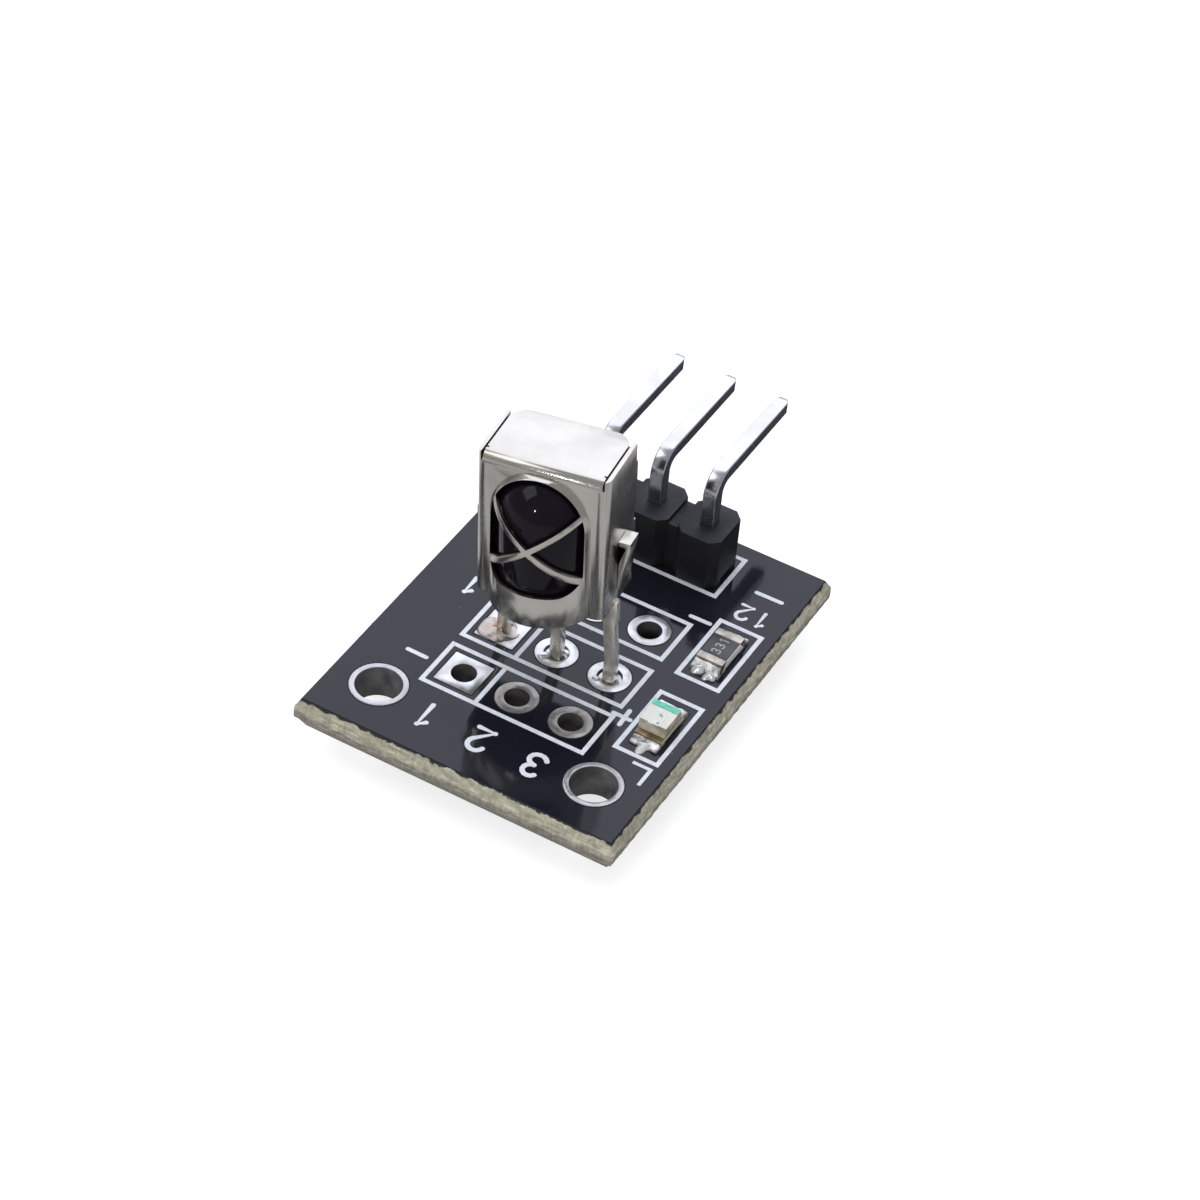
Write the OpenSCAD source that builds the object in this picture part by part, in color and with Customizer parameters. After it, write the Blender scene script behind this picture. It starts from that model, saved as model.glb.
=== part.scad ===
// Infrared receiver module: a small printed circuit board that carries a shielded
// receiver on three leads, a bent three-pin header, a chip resistor and a chip LED.
// Origin: midway between the two mounting holes, on the underside of the board.
// X runs along the front edge, Y towards the header, Z up.

/* [Board] */
// Width of the board's top face
board_w = 14.5; // [14:0.1:18]
// Length of the board's top face
board_l = 18.4; // [17.8:0.1:22]
// Thickness of the finished board
board_t = 1.6; // [1.2:0.1:2]
// Distance from the front edge to the line of the mounting holes
hole_inset = 2.4; // [2.1:0.1:2.6]
// Distance from the side edges to the mounting holes
hole_side = 2.17; // [2:0.01:2.4]
// Diameter of the mounting holes
hole_d = 2; // [1.6:0.1:2.2]
// Width of the bare ring round a mounting hole
hole_ring = 0.24; // [0.15:0.01:0.3]
// Slope of the scored edges, from the vertical
score_angle = 28; // [15:1:35]
// Depth of the score in the top face
score_top = 0.4; // [0.25:0.05:0.5]
// Depth of the score in the underside
score_bottom = 0.65; // [0.3:0.05:0.7]
// Thickness of the solder mask
mask_t = 0.03; // [0.02:0.01:0.04]
// Gap between the solder mask and a bare pad
mask_gap = 0.05; // [0.03:0.01:0.08]

/* [Pads] */
// Distance between neighbouring pads and pins
pitch = 2.54; // [2.4:0.02:2.6]
// Diameter of the plated holes
pad_hole_d = 1.08; // [1:0.02:1.2]
// Width across a pad
pad_w = 1.84; // [1.7:0.02:1.9]
// Thickness of the plating inside a hole
plating_t = 0.05; // [0.04:0.01:0.08]
// Height of a pad above the laminate
pad_t = 0.05; // [0.04:0.01:0.08]
// Distance from the mounting holes to the front row of pads
row_front_y = 2.52; // [2.4:0.02:2.6]
// Distance between the front row and the receiver's row
row_step = 3.2; // [3.1:0.02:3.4]
// Distance between the receiver's row and the rear row
row_step_rear = 3.35; // [3.2:0.05:3.5]
// Distance from the mounting holes to the header's row
header_y = 13.8; // [13.4:0.1:14]

/* [Print] */
// Thickness of the printed lines
print_t = 0.02; // [0.01:0.01:0.03]
// Width of the printed lines
line_w = 0.2; // [0.15:0.01:0.25]
// Depth of the outline round a row of pads
row_box = 2.52; // [2.4:0.02:2.6]

/* [Header] */
// Width of the square pins
pin_w = 0.64; // [0.5:0.02:0.68]
// Height of the header's plastic body
housing_h = 2.6; // [2.3:0.02:2.8]
// Depth of the header's plastic body
housing_l = 2.5; // [2.3:0.05:2.55]
// Corner chamfer of each cell of the body
housing_chamfer = 0.38; // [0.2:0.02:0.5]
// Width of the notch where the cells join
housing_notch = 0.46; // [0.3:0.02:0.6]
// Height from the top of the body to the axis of the bent pins
pin_rise = 2.3; // [2:0.1:3]
// Bend radius of the pins, at their axis
pin_bend = 0.8; // [0.6:0.05:1]
// Reach of the bent pins behind their row
pin_reach = 6.2; // [5:0.1:8]
// Reach of pins and leads below the board
tail = 1.3; // [1:0.1:1.6]
// Width of the clearance under the housing
relief_w = 0.9; // [0.7:0.05:1.1]
// Depth of the clearance under the housing
relief_h = 0.2; // [0.1:0.05:0.3]

/* [Receiver] */
// Width of the shield
can_w = 5.64; // [5.5:0.02:5.8]
// Depth of the shield
can_l = 3.12; // [3:0.02:3.4]
// Height of the shield
can_h = 6.78; // [6.6:0.02:7.2]
// Thickness of the shield's sheet
sheet_t = 0.18; // [0.15:0.01:0.25]
// Outside radius of the folds
fold_r = 0.45; // [0.35:0.01:0.55]
// Height of the shield above the board
can_gap = 4.05; // [3.8:0.05:4.6]
// Sideways place of the receiver over its pads
can_shift = -0.29; // [-0.4:0.01:0]
// Turn of the receiver about the vertical
can_turn = 8; // [0:1:10]
// Backward lean of the receiver
can_lean = 4; // [0:1:6]
// Sideways lean of the receiver
can_tilt = 4; // [0:1:6]
// Distance from the side of the shield to the foot of its domed front
dome_side = 0.66; // [0.6:0.02:0.8]
// How far the dome stands out from the front
dome_out = 1.5; // [1.1:0.05:1.6]
// Height of the centre of the dome's round top
dome_z = 4.3; // [4:0.05:4.4]
// Height of the lower edge of the window
window_z = 1.45; // [1.2:0.05:1.8]
// Width of the rim between the window and the foot of the dome
window_rim = 0.14; // [0.08:0.01:0.2]
// Width of the ribs that cross the window
rib_w = 0.23; // [0.18:0.01:0.3]
// Distance from the window's middle down to the crossing of the ribs
rib_drop = 0.28; // [0:0.02:0.4]
// Air gap between the lens and the inside of the dome
lens_gap = 0.08; // [0.05:0.01:0.15]
// Width of the tongue pressed out of each side wall
lance_w = 0.9; // [0.7:0.05:1.1]
// How far the tongues stand out
lance_out = 0.5; // [0.3:0.05:0.6]
// Height of the top of the tongues
lance_top = 2.85; // [2.4:0.05:3.2]
// Height of the foot of the tongues
lance_foot = 0.7; // [0.5:0.05:0.9]
// Reach of the tabs folded over the back
tab_reach = 0.9; // [0.6:0.05:1.2]
// Height of each back tab
tab_h = 2.2; // [1.6:0.1:2.4]
// Radius of the lid's rear corners
lid_corner = 0.8; // [0.5:0.05:1]
// Gap between the lid and the side walls
lid_gap = 0.09; // [0.05:0.01:0.12]
// Width of the receiver's leads
lead_w = 0.5; // [0.4:0.02:0.6]
// Thickness of the receiver's leads
lead_t = 0.38; // [0.3:0.02:0.45]
// Width of the shoulder where a lead leaves the body
shoulder_w = 0.64; // [0.6:0.02:0.8]
// Length of the shoulder
shoulder_h = 1.2; // [0.8:0.1:1.6]

/* [Chips] */
// Length of the chip parts
chip_l = 2; // [1.8:0.05:2.1]
// Width of the chip parts
chip_w = 1.25; // [1.1:0.05:1.3]
// Distance from the right edge to the chip parts
chip_side = 1.55; // [1.53:0.01:1.65]
// Distance from the mounting holes to the resistor
resistor_y = 9.4; // [9.3:0.05:9.6]
// Height of the resistor
resistor_h = 0.5; // [0.4:0.05:0.6]
// Distance from the mounting holes to the LED
led_y = 4.25; // [4.1:0.05:4.4]
// Height of the LED
led_h = 0.8; // [0.7:0.05:0.9]
// Height of the LED's base
led_base_h = 0.3; // [0.2:0.02:0.35]
// Length of the LED's lens
lens_l = 1.44; // [1.3:0.02:1.5]
// Length of the green bar on the lens
mark_l = 0.3; // [0.2:0.05:0.4]
// Length of a chip's metal end
terminal_l = 0.4; // [0.3:0.05:0.45]
// Thickness of a chip's metal end
terminal_t = 0.05; // [0.04:0.01:0.08]
// Length of the outline printed round a chip
chip_box_l = 3.8; // [3.7:0.05:3.9]
// Width of the outline printed round a chip
chip_box_w = 1.94; // [1.8:0.02:2]

/* [Hidden] */
$fn = 48;
eps = 0.01;

// Levels in the board's thickness
core_z = mask_t;
core_t = board_t - 2 * mask_t;
core_top = core_z + core_t;
pad_top = core_top + pad_t;

// Rows of plated holes
row_receiver_y = row_front_y + row_step;
row_rear_y = row_receiver_y + row_step_rear;
front_y = -hole_inset;
rear_y = board_l - hole_inset;
barrel_r = pad_hole_d / 2 + plating_t;
land_r = pad_w / 2;
ring_r = hole_d / 2 + hole_ring;
hole_x = board_w / 2 - hole_side;
chip_x = board_w / 2 - chip_side;

// Header levels: the housing stands on the pads
housing_z = pad_top;
pin_z = housing_z + housing_h + pin_rise;
tip_point = 0.22;
tip_slope = 22;

// Solder: how far a joint stays inside its land, and the shares of a pin's width,
// a tail's length and a chip's height that it takes
solder_inset = 0.06;
solder_neck = 0.72;
solder_reach = 0.6;
solder_climb = 0.8;
fillet_out = 0.08;

// Receiver, in its own frame: X across, Y backwards, Z up from its lower edge
can_back = 0.35;
lead_y = 0.1;
lead_grip = 1.2;
lead_knee = 1.1;
shoulder_gap = 0.1;
tab_low = 0.8;
tab_high = 0.9;
lance_bend = 0.15;
lance_root = 0.6;
lance_y = -0.1;
lance_slot = 0.05;
lid_lap = 0.4;
lid_relief = 0.1;
body_lift = 0.15;
dome_half = can_w / 2 - dome_side;
dome_r = (dome_half * dome_half + dome_out * dome_out) / (2 * dome_out);
dome_y = -can_l / 2 - dome_out + dome_r;
lens_r = dome_r - sheet_t - lens_gap;
body_clear = 0.02;
window_half = dome_half - window_rim;
window_mid = (window_z + dome_z + window_half) / 2 - rib_drop;
window_corner = 0.9;
rib_slope = 38;

// Chip parts sit on lands that reach a little past their ends
land_reach = 0.35;
land_inner = chip_l / 2 - terminal_l;
chip_z = pad_top;
glaze_t = 0.02;
glaze_rim = 0.03;
lens_slope = 0.08;
die_w = 0.3;
die_h = 0.12;
print_z = core_top + mask_t;
fine_line = 0.8 * line_w;
mark_arm = 0.75;
mark_leg = 1.1;
mark_inset = 0.15;
mark_gap = 0.3;

// Board

module scored_section(low, high) {
    // Section of the board between two edges: a score above, a rough web, a score below
    out_top = score_top * tan(score_angle);
    out_bottom = out_top - score_bottom * tan(score_angle);
    polygon([
        [low - out_bottom, 0], [high + out_bottom, 0],
        [high + out_top, score_bottom], [high + out_top, board_t - score_top],
        [high, board_t], [low, board_t],
        [low - out_top, board_t - score_top], [low - out_top, score_bottom]
    ]);
}

module board_blank() {
    // The panel's outline with all four edges scored
    side = board_l + board_w;
    intersection() {
        translate([0, side, 0])
            rotate([90, 0, 0])
                linear_extrude(2 * side)
                    scored_section(-board_w / 2, board_w / 2);
        translate([-side, 0, 0])
            rotate([90, 0, 90])
                linear_extrude(2 * side)
                    scored_section(front_y, rear_y);
    }
}

module slab(z, t) {
    // A level slice that is wider than the board
    side = 2 * (board_l + board_w);
    translate([-side / 2, -side / 2, z])
        cube([side, side, t]);
}

module at_holes() {
    for (side = [-1, 1])
        translate([side * hole_x, 0, 0])
            children();
}

module at_row(y) {
    for (i = [-1 : 1])
        translate([i * pitch, y, 0])
            children();
}

module at_all_rows() {
    for (y = [row_front_y, row_receiver_y, row_rear_y, header_y])
        at_row(y)
            children();
}

module at_chip_ends(y) {
    for (side = [-1, 1])
        translate([chip_x, y, 0])
            rotate([0, 0, side < 0 ? 0 : 180])
                children();
}

module land_shape() {
    // One solder land, towards -Y of a chip
    translate([-chip_w / 2, -chip_l / 2 - land_reach])
        square([chip_w, chip_l / 2 + land_reach - land_inner]);
}

module circuit_board() {
    color("#b9ad88")
        difference() {
            intersection() {
                board_blank();
                slab(core_z, core_t);
            }
            at_holes()
                translate([0, 0, -eps])
                    cylinder(r = hole_d / 2 + plating_t, h = board_t + 2 * eps);
            at_all_rows()
                translate([0, 0, -eps])
                    cylinder(r = barrel_r, h = board_t + 2 * eps);
        }
}

module pad_window(square_pad) {
    // Opening in the mask round one pad
    grown = land_r + mask_gap;
    if (square_pad)
        square(2 * grown, center = true);
    else
        circle(r = grown);
}

module mask_openings() {
    at_holes()
        circle(r = ring_r + mask_gap);
    for (y = [row_front_y, row_receiver_y, row_rear_y, header_y])
        for (i = [-1 : 1])
            translate([i * pitch, y])
                pad_window(i == -1);
}

module chip_openings() {
    opening_l = chip_l / 2 + land_reach - land_inner + 2 * mask_gap;
    for (y = [resistor_y, led_y])
        for (side = [-1, 1])
            translate([chip_x, y])
                rotate([0, 0, side < 0 ? 0 : 180])
                    translate([-chip_w / 2 - mask_gap, -chip_l / 2 - land_reach - mask_gap])
                        square([chip_w + 2 * mask_gap, opening_l]);
}

module solder_mask_top() {
    color("#23232b")
        difference() {
            intersection() {
                board_blank();
                slab(core_top, mask_t);
            }
            translate([0, 0, core_top - eps])
                linear_extrude(mask_t + 2 * eps)
                    mask_openings();
            translate([0, 0, core_top - eps])
                linear_extrude(mask_t + 2 * eps)
                    chip_openings();
        }
}

module solder_mask_bottom() {
    color("#23232b")
        difference() {
            intersection() {
                board_blank();
                slab(0, mask_t);
            }
            translate([0, 0, -eps])
                linear_extrude(mask_t + 2 * eps)
                    mask_openings();
        }
}

module hole_plating(side) {
    // Bare ring on both faces, joined through the mounting hole
    color("silver")
        translate([side * hole_x, 0, 0])
            difference() {
                union() {
                    translate([0, 0, core_z])
                        cylinder(r = hole_d / 2 + plating_t, h = core_t);
                    translate([0, 0, core_top])
                        cylinder(r = ring_r, h = pad_t);
                    translate([0, 0, core_z - mask_t])
                        cylinder(r = ring_r, h = mask_t);
                }
                translate([0, 0, -eps])
                    cylinder(r = hole_d / 2, h = pad_top + 2 * eps);
            }
}

module land(square_pad, t) {
    // Copper land on one face of the board
    linear_extrude(t)
        if (square_pad)
            square(2 * land_r, center = true);
        else
            circle(r = land_r);
}

module plated_pad(i, y) {
    // Land on both faces and the barrel between them
    color("#d9dbe0")
        translate([(i - 2) * pitch, y, 0])
            difference() {
                union() {
                    translate([0, 0, core_z])
                        cylinder(r = barrel_r, h = core_t);
                    translate([0, 0, core_top])
                        land(i == 1, pad_t);
                    land(i == 1, mask_t);
                }
                translate([0, 0, -eps])
                    cylinder(d = pad_hole_d, h = pad_top + 2 * eps);
            }
}

// Printed outlines

module frame_shape(x, y, w, l) {
    // Rectangle drawn with a line of even width
    translate([x, y])
        difference() {
            square([w + line_w, l + line_w], center = true);
            square([w - line_w, l - line_w], center = true);
        }
}

module row_outline(y) {
    // Outline round three pads, with a bar beside the square pad
    row_w = 3 * pitch;
    frame_shape(0, y, row_w, row_box);
    translate([-pitch / 2 - line_w / 2, y - row_box / 2])
        square([line_w, row_box]);
}

module corner_mark() {
    // Bracket in front of the LED's outline
    x = chip_x + chip_box_w / 2 - mark_inset;
    y = led_y - chip_box_l / 2 - mark_gap;
    translate([x, y - mark_leg])
        square([fine_line, mark_leg]);
    translate([x - mark_arm, y - fine_line])
        square([mark_arm + fine_line, fine_line]);
}

module outline_shapes() {
    header_box = housing_l + line_w;
    row_outline(row_front_y);
    row_outline(row_receiver_y);
    row_outline(row_rear_y);
    frame_shape(0, header_y, 3 * pitch, header_box);
    frame_shape(chip_x, resistor_y, chip_box_w, chip_box_l);
    frame_shape(chip_x, led_y, chip_box_w, chip_box_l);
    corner_mark();
}

module printed_outlines() {
    // The print stops short of bare lands
    color("white")
        translate([0, 0, print_z])
            linear_extrude(print_t)
                difference() {
                    outline_shapes();
                    chip_openings();
                }
}

// Header

module cell_shape(w, l, chamfer) {
    // Rectangle with its four corners cut off
    polygon([
        [-w / 2 + chamfer, -l / 2], [w / 2 - chamfer, -l / 2],
        [w / 2, -l / 2 + chamfer], [w / 2, l / 2 - chamfer],
        [w / 2 - chamfer, l / 2], [-w / 2 + chamfer, l / 2],
        [-w / 2, l / 2 - chamfer], [-w / 2, -l / 2 + chamfer]
    ]);
}

module header_housing() {
    web_l = housing_l - 2 * housing_chamfer;
    web_h = housing_h - housing_notch / 2;
    web_w = 3 * pitch - housing_notch - housing_chamfer;
    color("#1d1d22")
        translate([0, header_y, housing_z])
            difference() {
                union() {
                    for (i = [-1 : 1])
                        translate([i * pitch, 0, 0])
                            linear_extrude(housing_h)
                                cell_shape(pitch - housing_notch, housing_l, housing_chamfer);
                    // Webs that join the cells
                    translate([-web_w / 2, -web_l / 2, 0])
                        cube([web_w, web_l, web_h]);
                }
                // Clearance under the body, from end to end
                translate([-2 * pitch, -relief_w / 2, -eps])
                    cube([4 * pitch, relief_w, relief_h + eps]);
                for (i = [-1 : 1])
                    translate([i * pitch - pin_w / 2, -pin_w / 2, -eps])
                        cube([pin_w, pin_w, housing_h + 1]);
            }
}

module pin_side() {
    // Side view of a bent pin: first coordinate backwards, second up
    half = pin_w / 2;
    translate([-half, -tail])
        square([pin_w, pin_z - pin_bend + tail]);
    translate([pin_bend, pin_z - half])
        square([pin_reach - pin_bend, pin_w]);
    translate([pin_bend, pin_z - pin_bend])
        intersection() {
            difference() {
                circle(r = pin_bend + half);
                circle(r = pin_bend - half);
            }
            translate([-2 * pin_bend, 0])
                square(2 * pin_bend);
        }
}

module tip_cut() {
    // Four sloping cuts that point a pin's end, which lies at the origin along +Z
    for (a = [0 : 90 : 270])
        rotate([0, 0, a])
            translate([pin_w / 2 - tip_point * tan(tip_slope), -pin_w, 0])
                rotate([0, -tip_slope, 0])
                    translate([0, 0, -2 * tip_point])
                        cube([pin_w, 2 * pin_w, 4 * tip_point]);
}

module header_pin(i) {
    color("#e6e6ea")
        translate([(i - 2) * pitch, header_y, 0])
            difference() {
                translate([-pin_w / 2, 0, 0])
                    rotate([90, 0, 90])
                        linear_extrude(pin_w)
                            pin_side();
                translate([0, pin_reach, pin_z])
                    rotate([-90, 0, 0])
                        tip_cut();
                translate([0, 0, -tail])
                    rotate([180, 0, 0])
                        tip_cut();
            }
}

module solder_cone(foot_r, neck_r, reach) {
    // Concave fillet under the board: wide on its land, narrow at the pin
    rotate_extrude()
        difference() {
            square([foot_r, reach]);
            translate([neck_r + reach, reach])
                circle(r = reach);
        }
}

module header_solder(i) {
    color("#c9ccd2")
        translate([(i - 2) * pitch, header_y, 0])
            difference() {
                union() {
                    rotate([180, 0, 0])
                        solder_cone(land_r - solder_inset, pin_w * solder_neck, tail * solder_reach);
                    cylinder(d = pad_hole_d, h = core_top);
                }
                translate([-pin_w / 2, -pin_w / 2, -2 * tail])
                    cube([pin_w, pin_w, 4 * tail + board_t]);
            }
}

// Receiver

module in_can() {
    // The receiver's own frame, turned and leaning as it was soldered
    translate([can_shift, row_receiver_y - can_back, board_t + can_gap])
        rotate([-can_lean, -can_tilt, can_turn])
            children();
}

module can_outline(inset) {
    // Plan of the folded sheet's outside, made smaller all round by inset
    w = can_w - 2 * inset;
    l = can_l - 2 * inset;
    r = fold_r - inset;
    translate([-w / 2, -l / 2 + r])
        square([w, l - r]);
    translate([-w / 2 + r, -l / 2])
        square([w - 2 * r, l]);
    for (side = [-1, 1])
        translate([side * (w / 2 - r), -l / 2 + r])
            circle(r = r);
}

module dome(r, low, high_z) {
    // Half-round column with a round top, proud of the front
    translate([0, dome_y, low])
        cylinder(r = r, h = high_z - low);
    translate([0, dome_y, high_z])
        sphere(r = r);
}

module window_shape() {
    // Window seen from the front: straight sides, round top, rounded lower corners
    translate([0, dome_z])
        circle(r = window_half);
    translate([-window_half, window_z + window_corner])
        square([2 * window_half, dome_z - window_z - window_corner]);
    translate([-window_half + window_corner, window_z])
        square([2 * (window_half - window_corner), window_corner + eps]);
    for (side = [-1, 1])
        translate([side * (window_half - window_corner), window_z + window_corner])
            circle(r = window_corner);
}

module rib_shape() {
    // Two bars that cross in the middle of the window
    for (a = [-rib_slope, rib_slope])
        translate([0, window_mid])
            rotate([0, 0, a])
                square([2 * can_w, rib_w], center = true);
}

module lance_side() {
    // Side view of the tongue pressed out of a side wall: outwards, then up
    polygon([
        [-sheet_t, lance_foot], [0, lance_foot], [lance_out, lance_top - lance_bend],
        [lance_out, lance_top + sheet_t], [-sheet_t, lance_top + sheet_t],
        [-sheet_t, lance_top], [lance_out - sheet_t, lance_top - lance_bend / 2],
        [-sheet_t, lance_foot + lance_root]
    ]);
}

module side_lance(side) {
    translate([side * can_w / 2, lance_y + lance_w / 2, 0])
        rotate([90, 0, side < 0 ? 180 : 0])
            translate([0, 0, -lance_w / 2])
                linear_extrude(lance_w)
                    lance_side();
}

module lance_slots() {
    // Openings in the side walls behind the tongues
    slot_h = lance_top + sheet_t - lance_foot - 2 * eps;
    for (side = [-1, 1])
        translate([side * can_w / 2 - 2 * sheet_t, lance_y - lance_slot, lance_foot + eps])
            cube([4 * sheet_t, lance_w + 2 * lance_slot, slot_h]);
}

module top_flap() {
    // Lid folded back from the front wall, with round rear corners
    w = can_w - 2 * sheet_t - 2 * lid_gap;
    rear = can_l / 2 + lid_lap;
    front = -can_l / 2 + fold_r;
    translate([0, 0, can_h - sheet_t])
        linear_extrude(sheet_t) {
            translate([-w / 2, front + lid_relief])
                square([w, rear - lid_corner - front - lid_relief]);
            translate([-w / 2 + lid_corner, front])
                square([w - 2 * lid_corner, rear - front]);
            translate([-w / 2 + lid_relief, front - eps])
                square([w - 2 * lid_relief, lid_relief + 2 * eps]);
            for (side = [-1, 1])
                translate([side * (w / 2 - lid_corner), rear - lid_corner])
                    circle(r = lid_corner);
        }
}

module side_outlines() {
    // The two side walls seen from above, with the round corner in front
    intersection() {
        can_outline(0);
        for (side = [-1, 1])
            translate([side < 0 ? -can_w / 2 : can_w / 2 - sheet_t, -can_l / 2])
                square([sheet_t, can_l]);
    }
}

module front_fold() {
    // Round fold between the front wall and the lid
    fold_w = can_w - 2 * sheet_t - 2 * lid_gap;
    translate([-fold_w / 2, -can_l / 2 + fold_r, can_h - fold_r])
        rotate([90, 0, 90])
            linear_extrude(fold_w)
                intersection() {
                    difference() {
                        circle(r = fold_r);
                        circle(r = fold_r - sheet_t);
                    }
                    translate([-2 * fold_r, 0])
                        square(2 * fold_r);
                }
}

module rear_tabs() {
    // Short tabs folded over the back of the body
    for (side = [-1, 1])
        for (z = [tab_low, can_h - tab_h - tab_high])
            translate([side < 0 ? -can_w / 2 : can_w / 2 - tab_reach, can_l / 2 - eps, z])
                cube([tab_reach, sheet_t, tab_h]);
}

module receiver_shield() {
    front_h = can_h - fold_r;
    color("#b3aea2")
        in_can() {
            difference() {
                union() {
                    linear_extrude(front_h)
                        can_outline(0);
                    // Side walls run up to the lid, the front wall only to the fold
                    linear_extrude(can_h)
                        side_outlines();
                    intersection() {
                        dome(dome_r, 0, dome_z);
                        translate([-can_w / 2, -2 * can_l, 0])
                            cube([can_w, 1.5 * can_l + sheet_t, front_h]);
                    }
                }
                translate([0, 0, -eps])
                    linear_extrude(can_h + 1)
                        can_outline(sheet_t);
                // Open back
                translate([-can_w / 2 + sheet_t, 0, -eps])
                    cube([can_w - 2 * sheet_t, can_l, can_h + 1]);
                dome(dome_r - sheet_t, -1, dome_z);
                // Window, apart from its ribs
                translate([0, -can_l / 2 + sheet_t + eps, 0])
                    rotate([90, 0, 0])
                        linear_extrude(2 * can_l)
                            difference() {
                                window_shape();
                                rib_shape();
                            }
                lance_slots();
            }
            front_fold();
            top_flap();
            rear_tabs();
            for (side = [-1, 1])
                side_lance(side);
        }
}

module body_outline() {
    // Plan of the moulding, which follows the shield's round corners
    can_outline(sheet_t + body_clear);
    translate([-can_w / 2 + sheet_t + body_clear, 0])
        square([can_w - 2 * sheet_t - 2 * body_clear, can_l / 2 - body_clear]);
}

module body_side() {
    // Side view of the moulding, with a round upper edge under the fold
    r = fold_r - sheet_t - body_clear;
    front = -can_l / 2 + sheet_t + body_clear;
    top = can_h - sheet_t - body_clear;
    translate([front, body_lift])
        square([can_l, top - r - body_lift]);
    translate([front + r, body_lift])
        square([can_l, top - body_lift]);
    translate([front + r, top - r])
        circle(r = r);
}

module receiver_body() {
    // Black moulding with its lens, which fills the shield
    body_h = can_h - sheet_t - body_clear;
    color("#0f0f12")
        in_can()
            difference() {
                union() {
                    intersection() {
                        linear_extrude(can_h)
                            body_outline();
                        translate([-can_w, 0, 0])
                            rotate([90, 0, 90])
                                linear_extrude(2 * can_w)
                                    body_side();
                    }
                    intersection() {
                        dome(lens_r, body_lift, dome_z);
                        translate([-can_w / 2, -2 * can_l, body_lift])
                            cube([can_w, 2 * can_l, body_h - body_lift]);
                    }
                }
                for (i = [-1 : 1])
                    translate([i * pitch - lead_w / 2, lead_y - lead_t / 2, -eps])
                        cube([lead_w, lead_t, lead_grip + eps]);
            }
}

module lead_section(w) {
    // Thin slice across a lead
    translate([-w / 2, -lead_t / 2, 0])
        cube([w, lead_t, eps]);
}

module receiver_lead(i) {
    x = (i - 2) * pitch;
    knee_z = board_t + lead_knee;
    wall = can_w / 2 - sheet_t - body_clear;
    left = max(-lead_w / 2, -wall - x);
    right = min(lead_w / 2, wall - x);
    color("#c6c2b4") {
        in_can()
            translate([x, lead_y, 0]) {
                translate([-lead_w / 2, -lead_t / 2, -shoulder_h - eps])
                    cube([lead_w, lead_t, shoulder_h + eps]);
                // The outer leads are narrower in the can, clear of its side walls
                translate([left, -lead_t / 2, -eps])
                    cube([right - left, lead_t, lead_grip + eps]);
                translate([-shoulder_w / 2, -lead_t / 2, -shoulder_h])
                    cube([shoulder_w, lead_t, shoulder_h - shoulder_gap]);
            }
        hull() {
            in_can()
                translate([x, lead_y, -shoulder_h - eps])
                    lead_section(lead_w);
            translate([x, row_receiver_y, knee_z])
                lead_section(lead_w);
        }
        translate([x - lead_w / 2, row_receiver_y - lead_t / 2, -tail])
            cube([lead_w, lead_t, tail + knee_z + eps]);
    }
}

module receiver_solder(i) {
    // Fillet below the board, filled hole, and a hollow meniscus on top
    color("#c9ccd2")
        translate([(i - 2) * pitch, row_receiver_y, 0])
            difference() {
                union() {
                    rotate([180, 0, 0])
                        solder_cone(land_r - solder_inset, lead_w * solder_neck, tail * solder_reach);
                    cylinder(d = pad_hole_d, h = board_t);
                }
                translate([0, 0, board_t + pad_hole_d * solder_climb])
                    sphere(r = pad_hole_d);
                translate([-lead_w / 2, -lead_t / 2, -2 * tail])
                    cube([lead_w, lead_t, 4 * tail + board_t]);
            }
}

// Chip parts

module chip_lands(y) {
    color("#d9dbe0")
        translate([0, 0, core_top])
            linear_extrude(pad_t)
                at_chip_ends(y)
                    land_shape();
}

module chip_solder(y, h) {
    // Sloping fillet from each land up the end of the chip
    climb = h * solder_climb;
    color("#c9ccd2")
        at_chip_ends(y)
            translate([-chip_w / 2, -chip_l / 2, chip_z])
                rotate([90, 0, 90])
                    linear_extrude(chip_w)
                        difference() {
                            translate([-land_reach, 0])
                                square([land_reach, climb]);
                            translate([-land_reach - fillet_out, climb + fillet_out])
                                circle(r = min(land_reach, climb));
                        }
}

module resistor_core() {
    color("#e9e6dc")
        translate([chip_x - chip_w / 2, resistor_y - chip_l / 2 + terminal_t, chip_z + terminal_t])
            cube([chip_w, chip_l - 2 * terminal_t, resistor_h - 2 * terminal_t]);
}

module resistor_glaze() {
    inner_l = chip_l - 2 * terminal_l;
    glaze_z = chip_z + resistor_h - terminal_t;
    color("#17171a")
        translate([chip_x - chip_w / 2 + glaze_rim, resistor_y - inner_l / 2, glaze_z])
            cube([chip_w - 2 * glaze_rim, inner_l, terminal_t + glaze_t]);
}

module resistor_terminals() {
    // Wrapped metal ends
    color("#d2d4d8")
        difference() {
            at_chip_ends(resistor_y)
                translate([-chip_w / 2, -chip_l / 2, chip_z])
                    cube([chip_w, terminal_l, resistor_h]);
            resistor_core_space();
        }
}

module resistor_core_space() {
    translate([chip_x - chip_w, resistor_y - chip_l / 2 + terminal_t, chip_z + terminal_t])
        cube([2 * chip_w, chip_l - 2 * terminal_t, resistor_h - 2 * terminal_t]);
}

module led_base() {
    color("#e8e2c8")
        translate([chip_x - chip_w / 2, led_y - chip_l / 2 + terminal_t, chip_z + terminal_t])
            cube([chip_w, chip_l - 2 * terminal_t, led_base_h - 2 * terminal_t]);
}

module led_chip() {
    color("#8c7a3a")
        translate([chip_x - die_w / 2, led_y - die_w / 2, chip_z + led_base_h - terminal_t])
            cube([die_w, die_w, die_h]);
}

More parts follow.
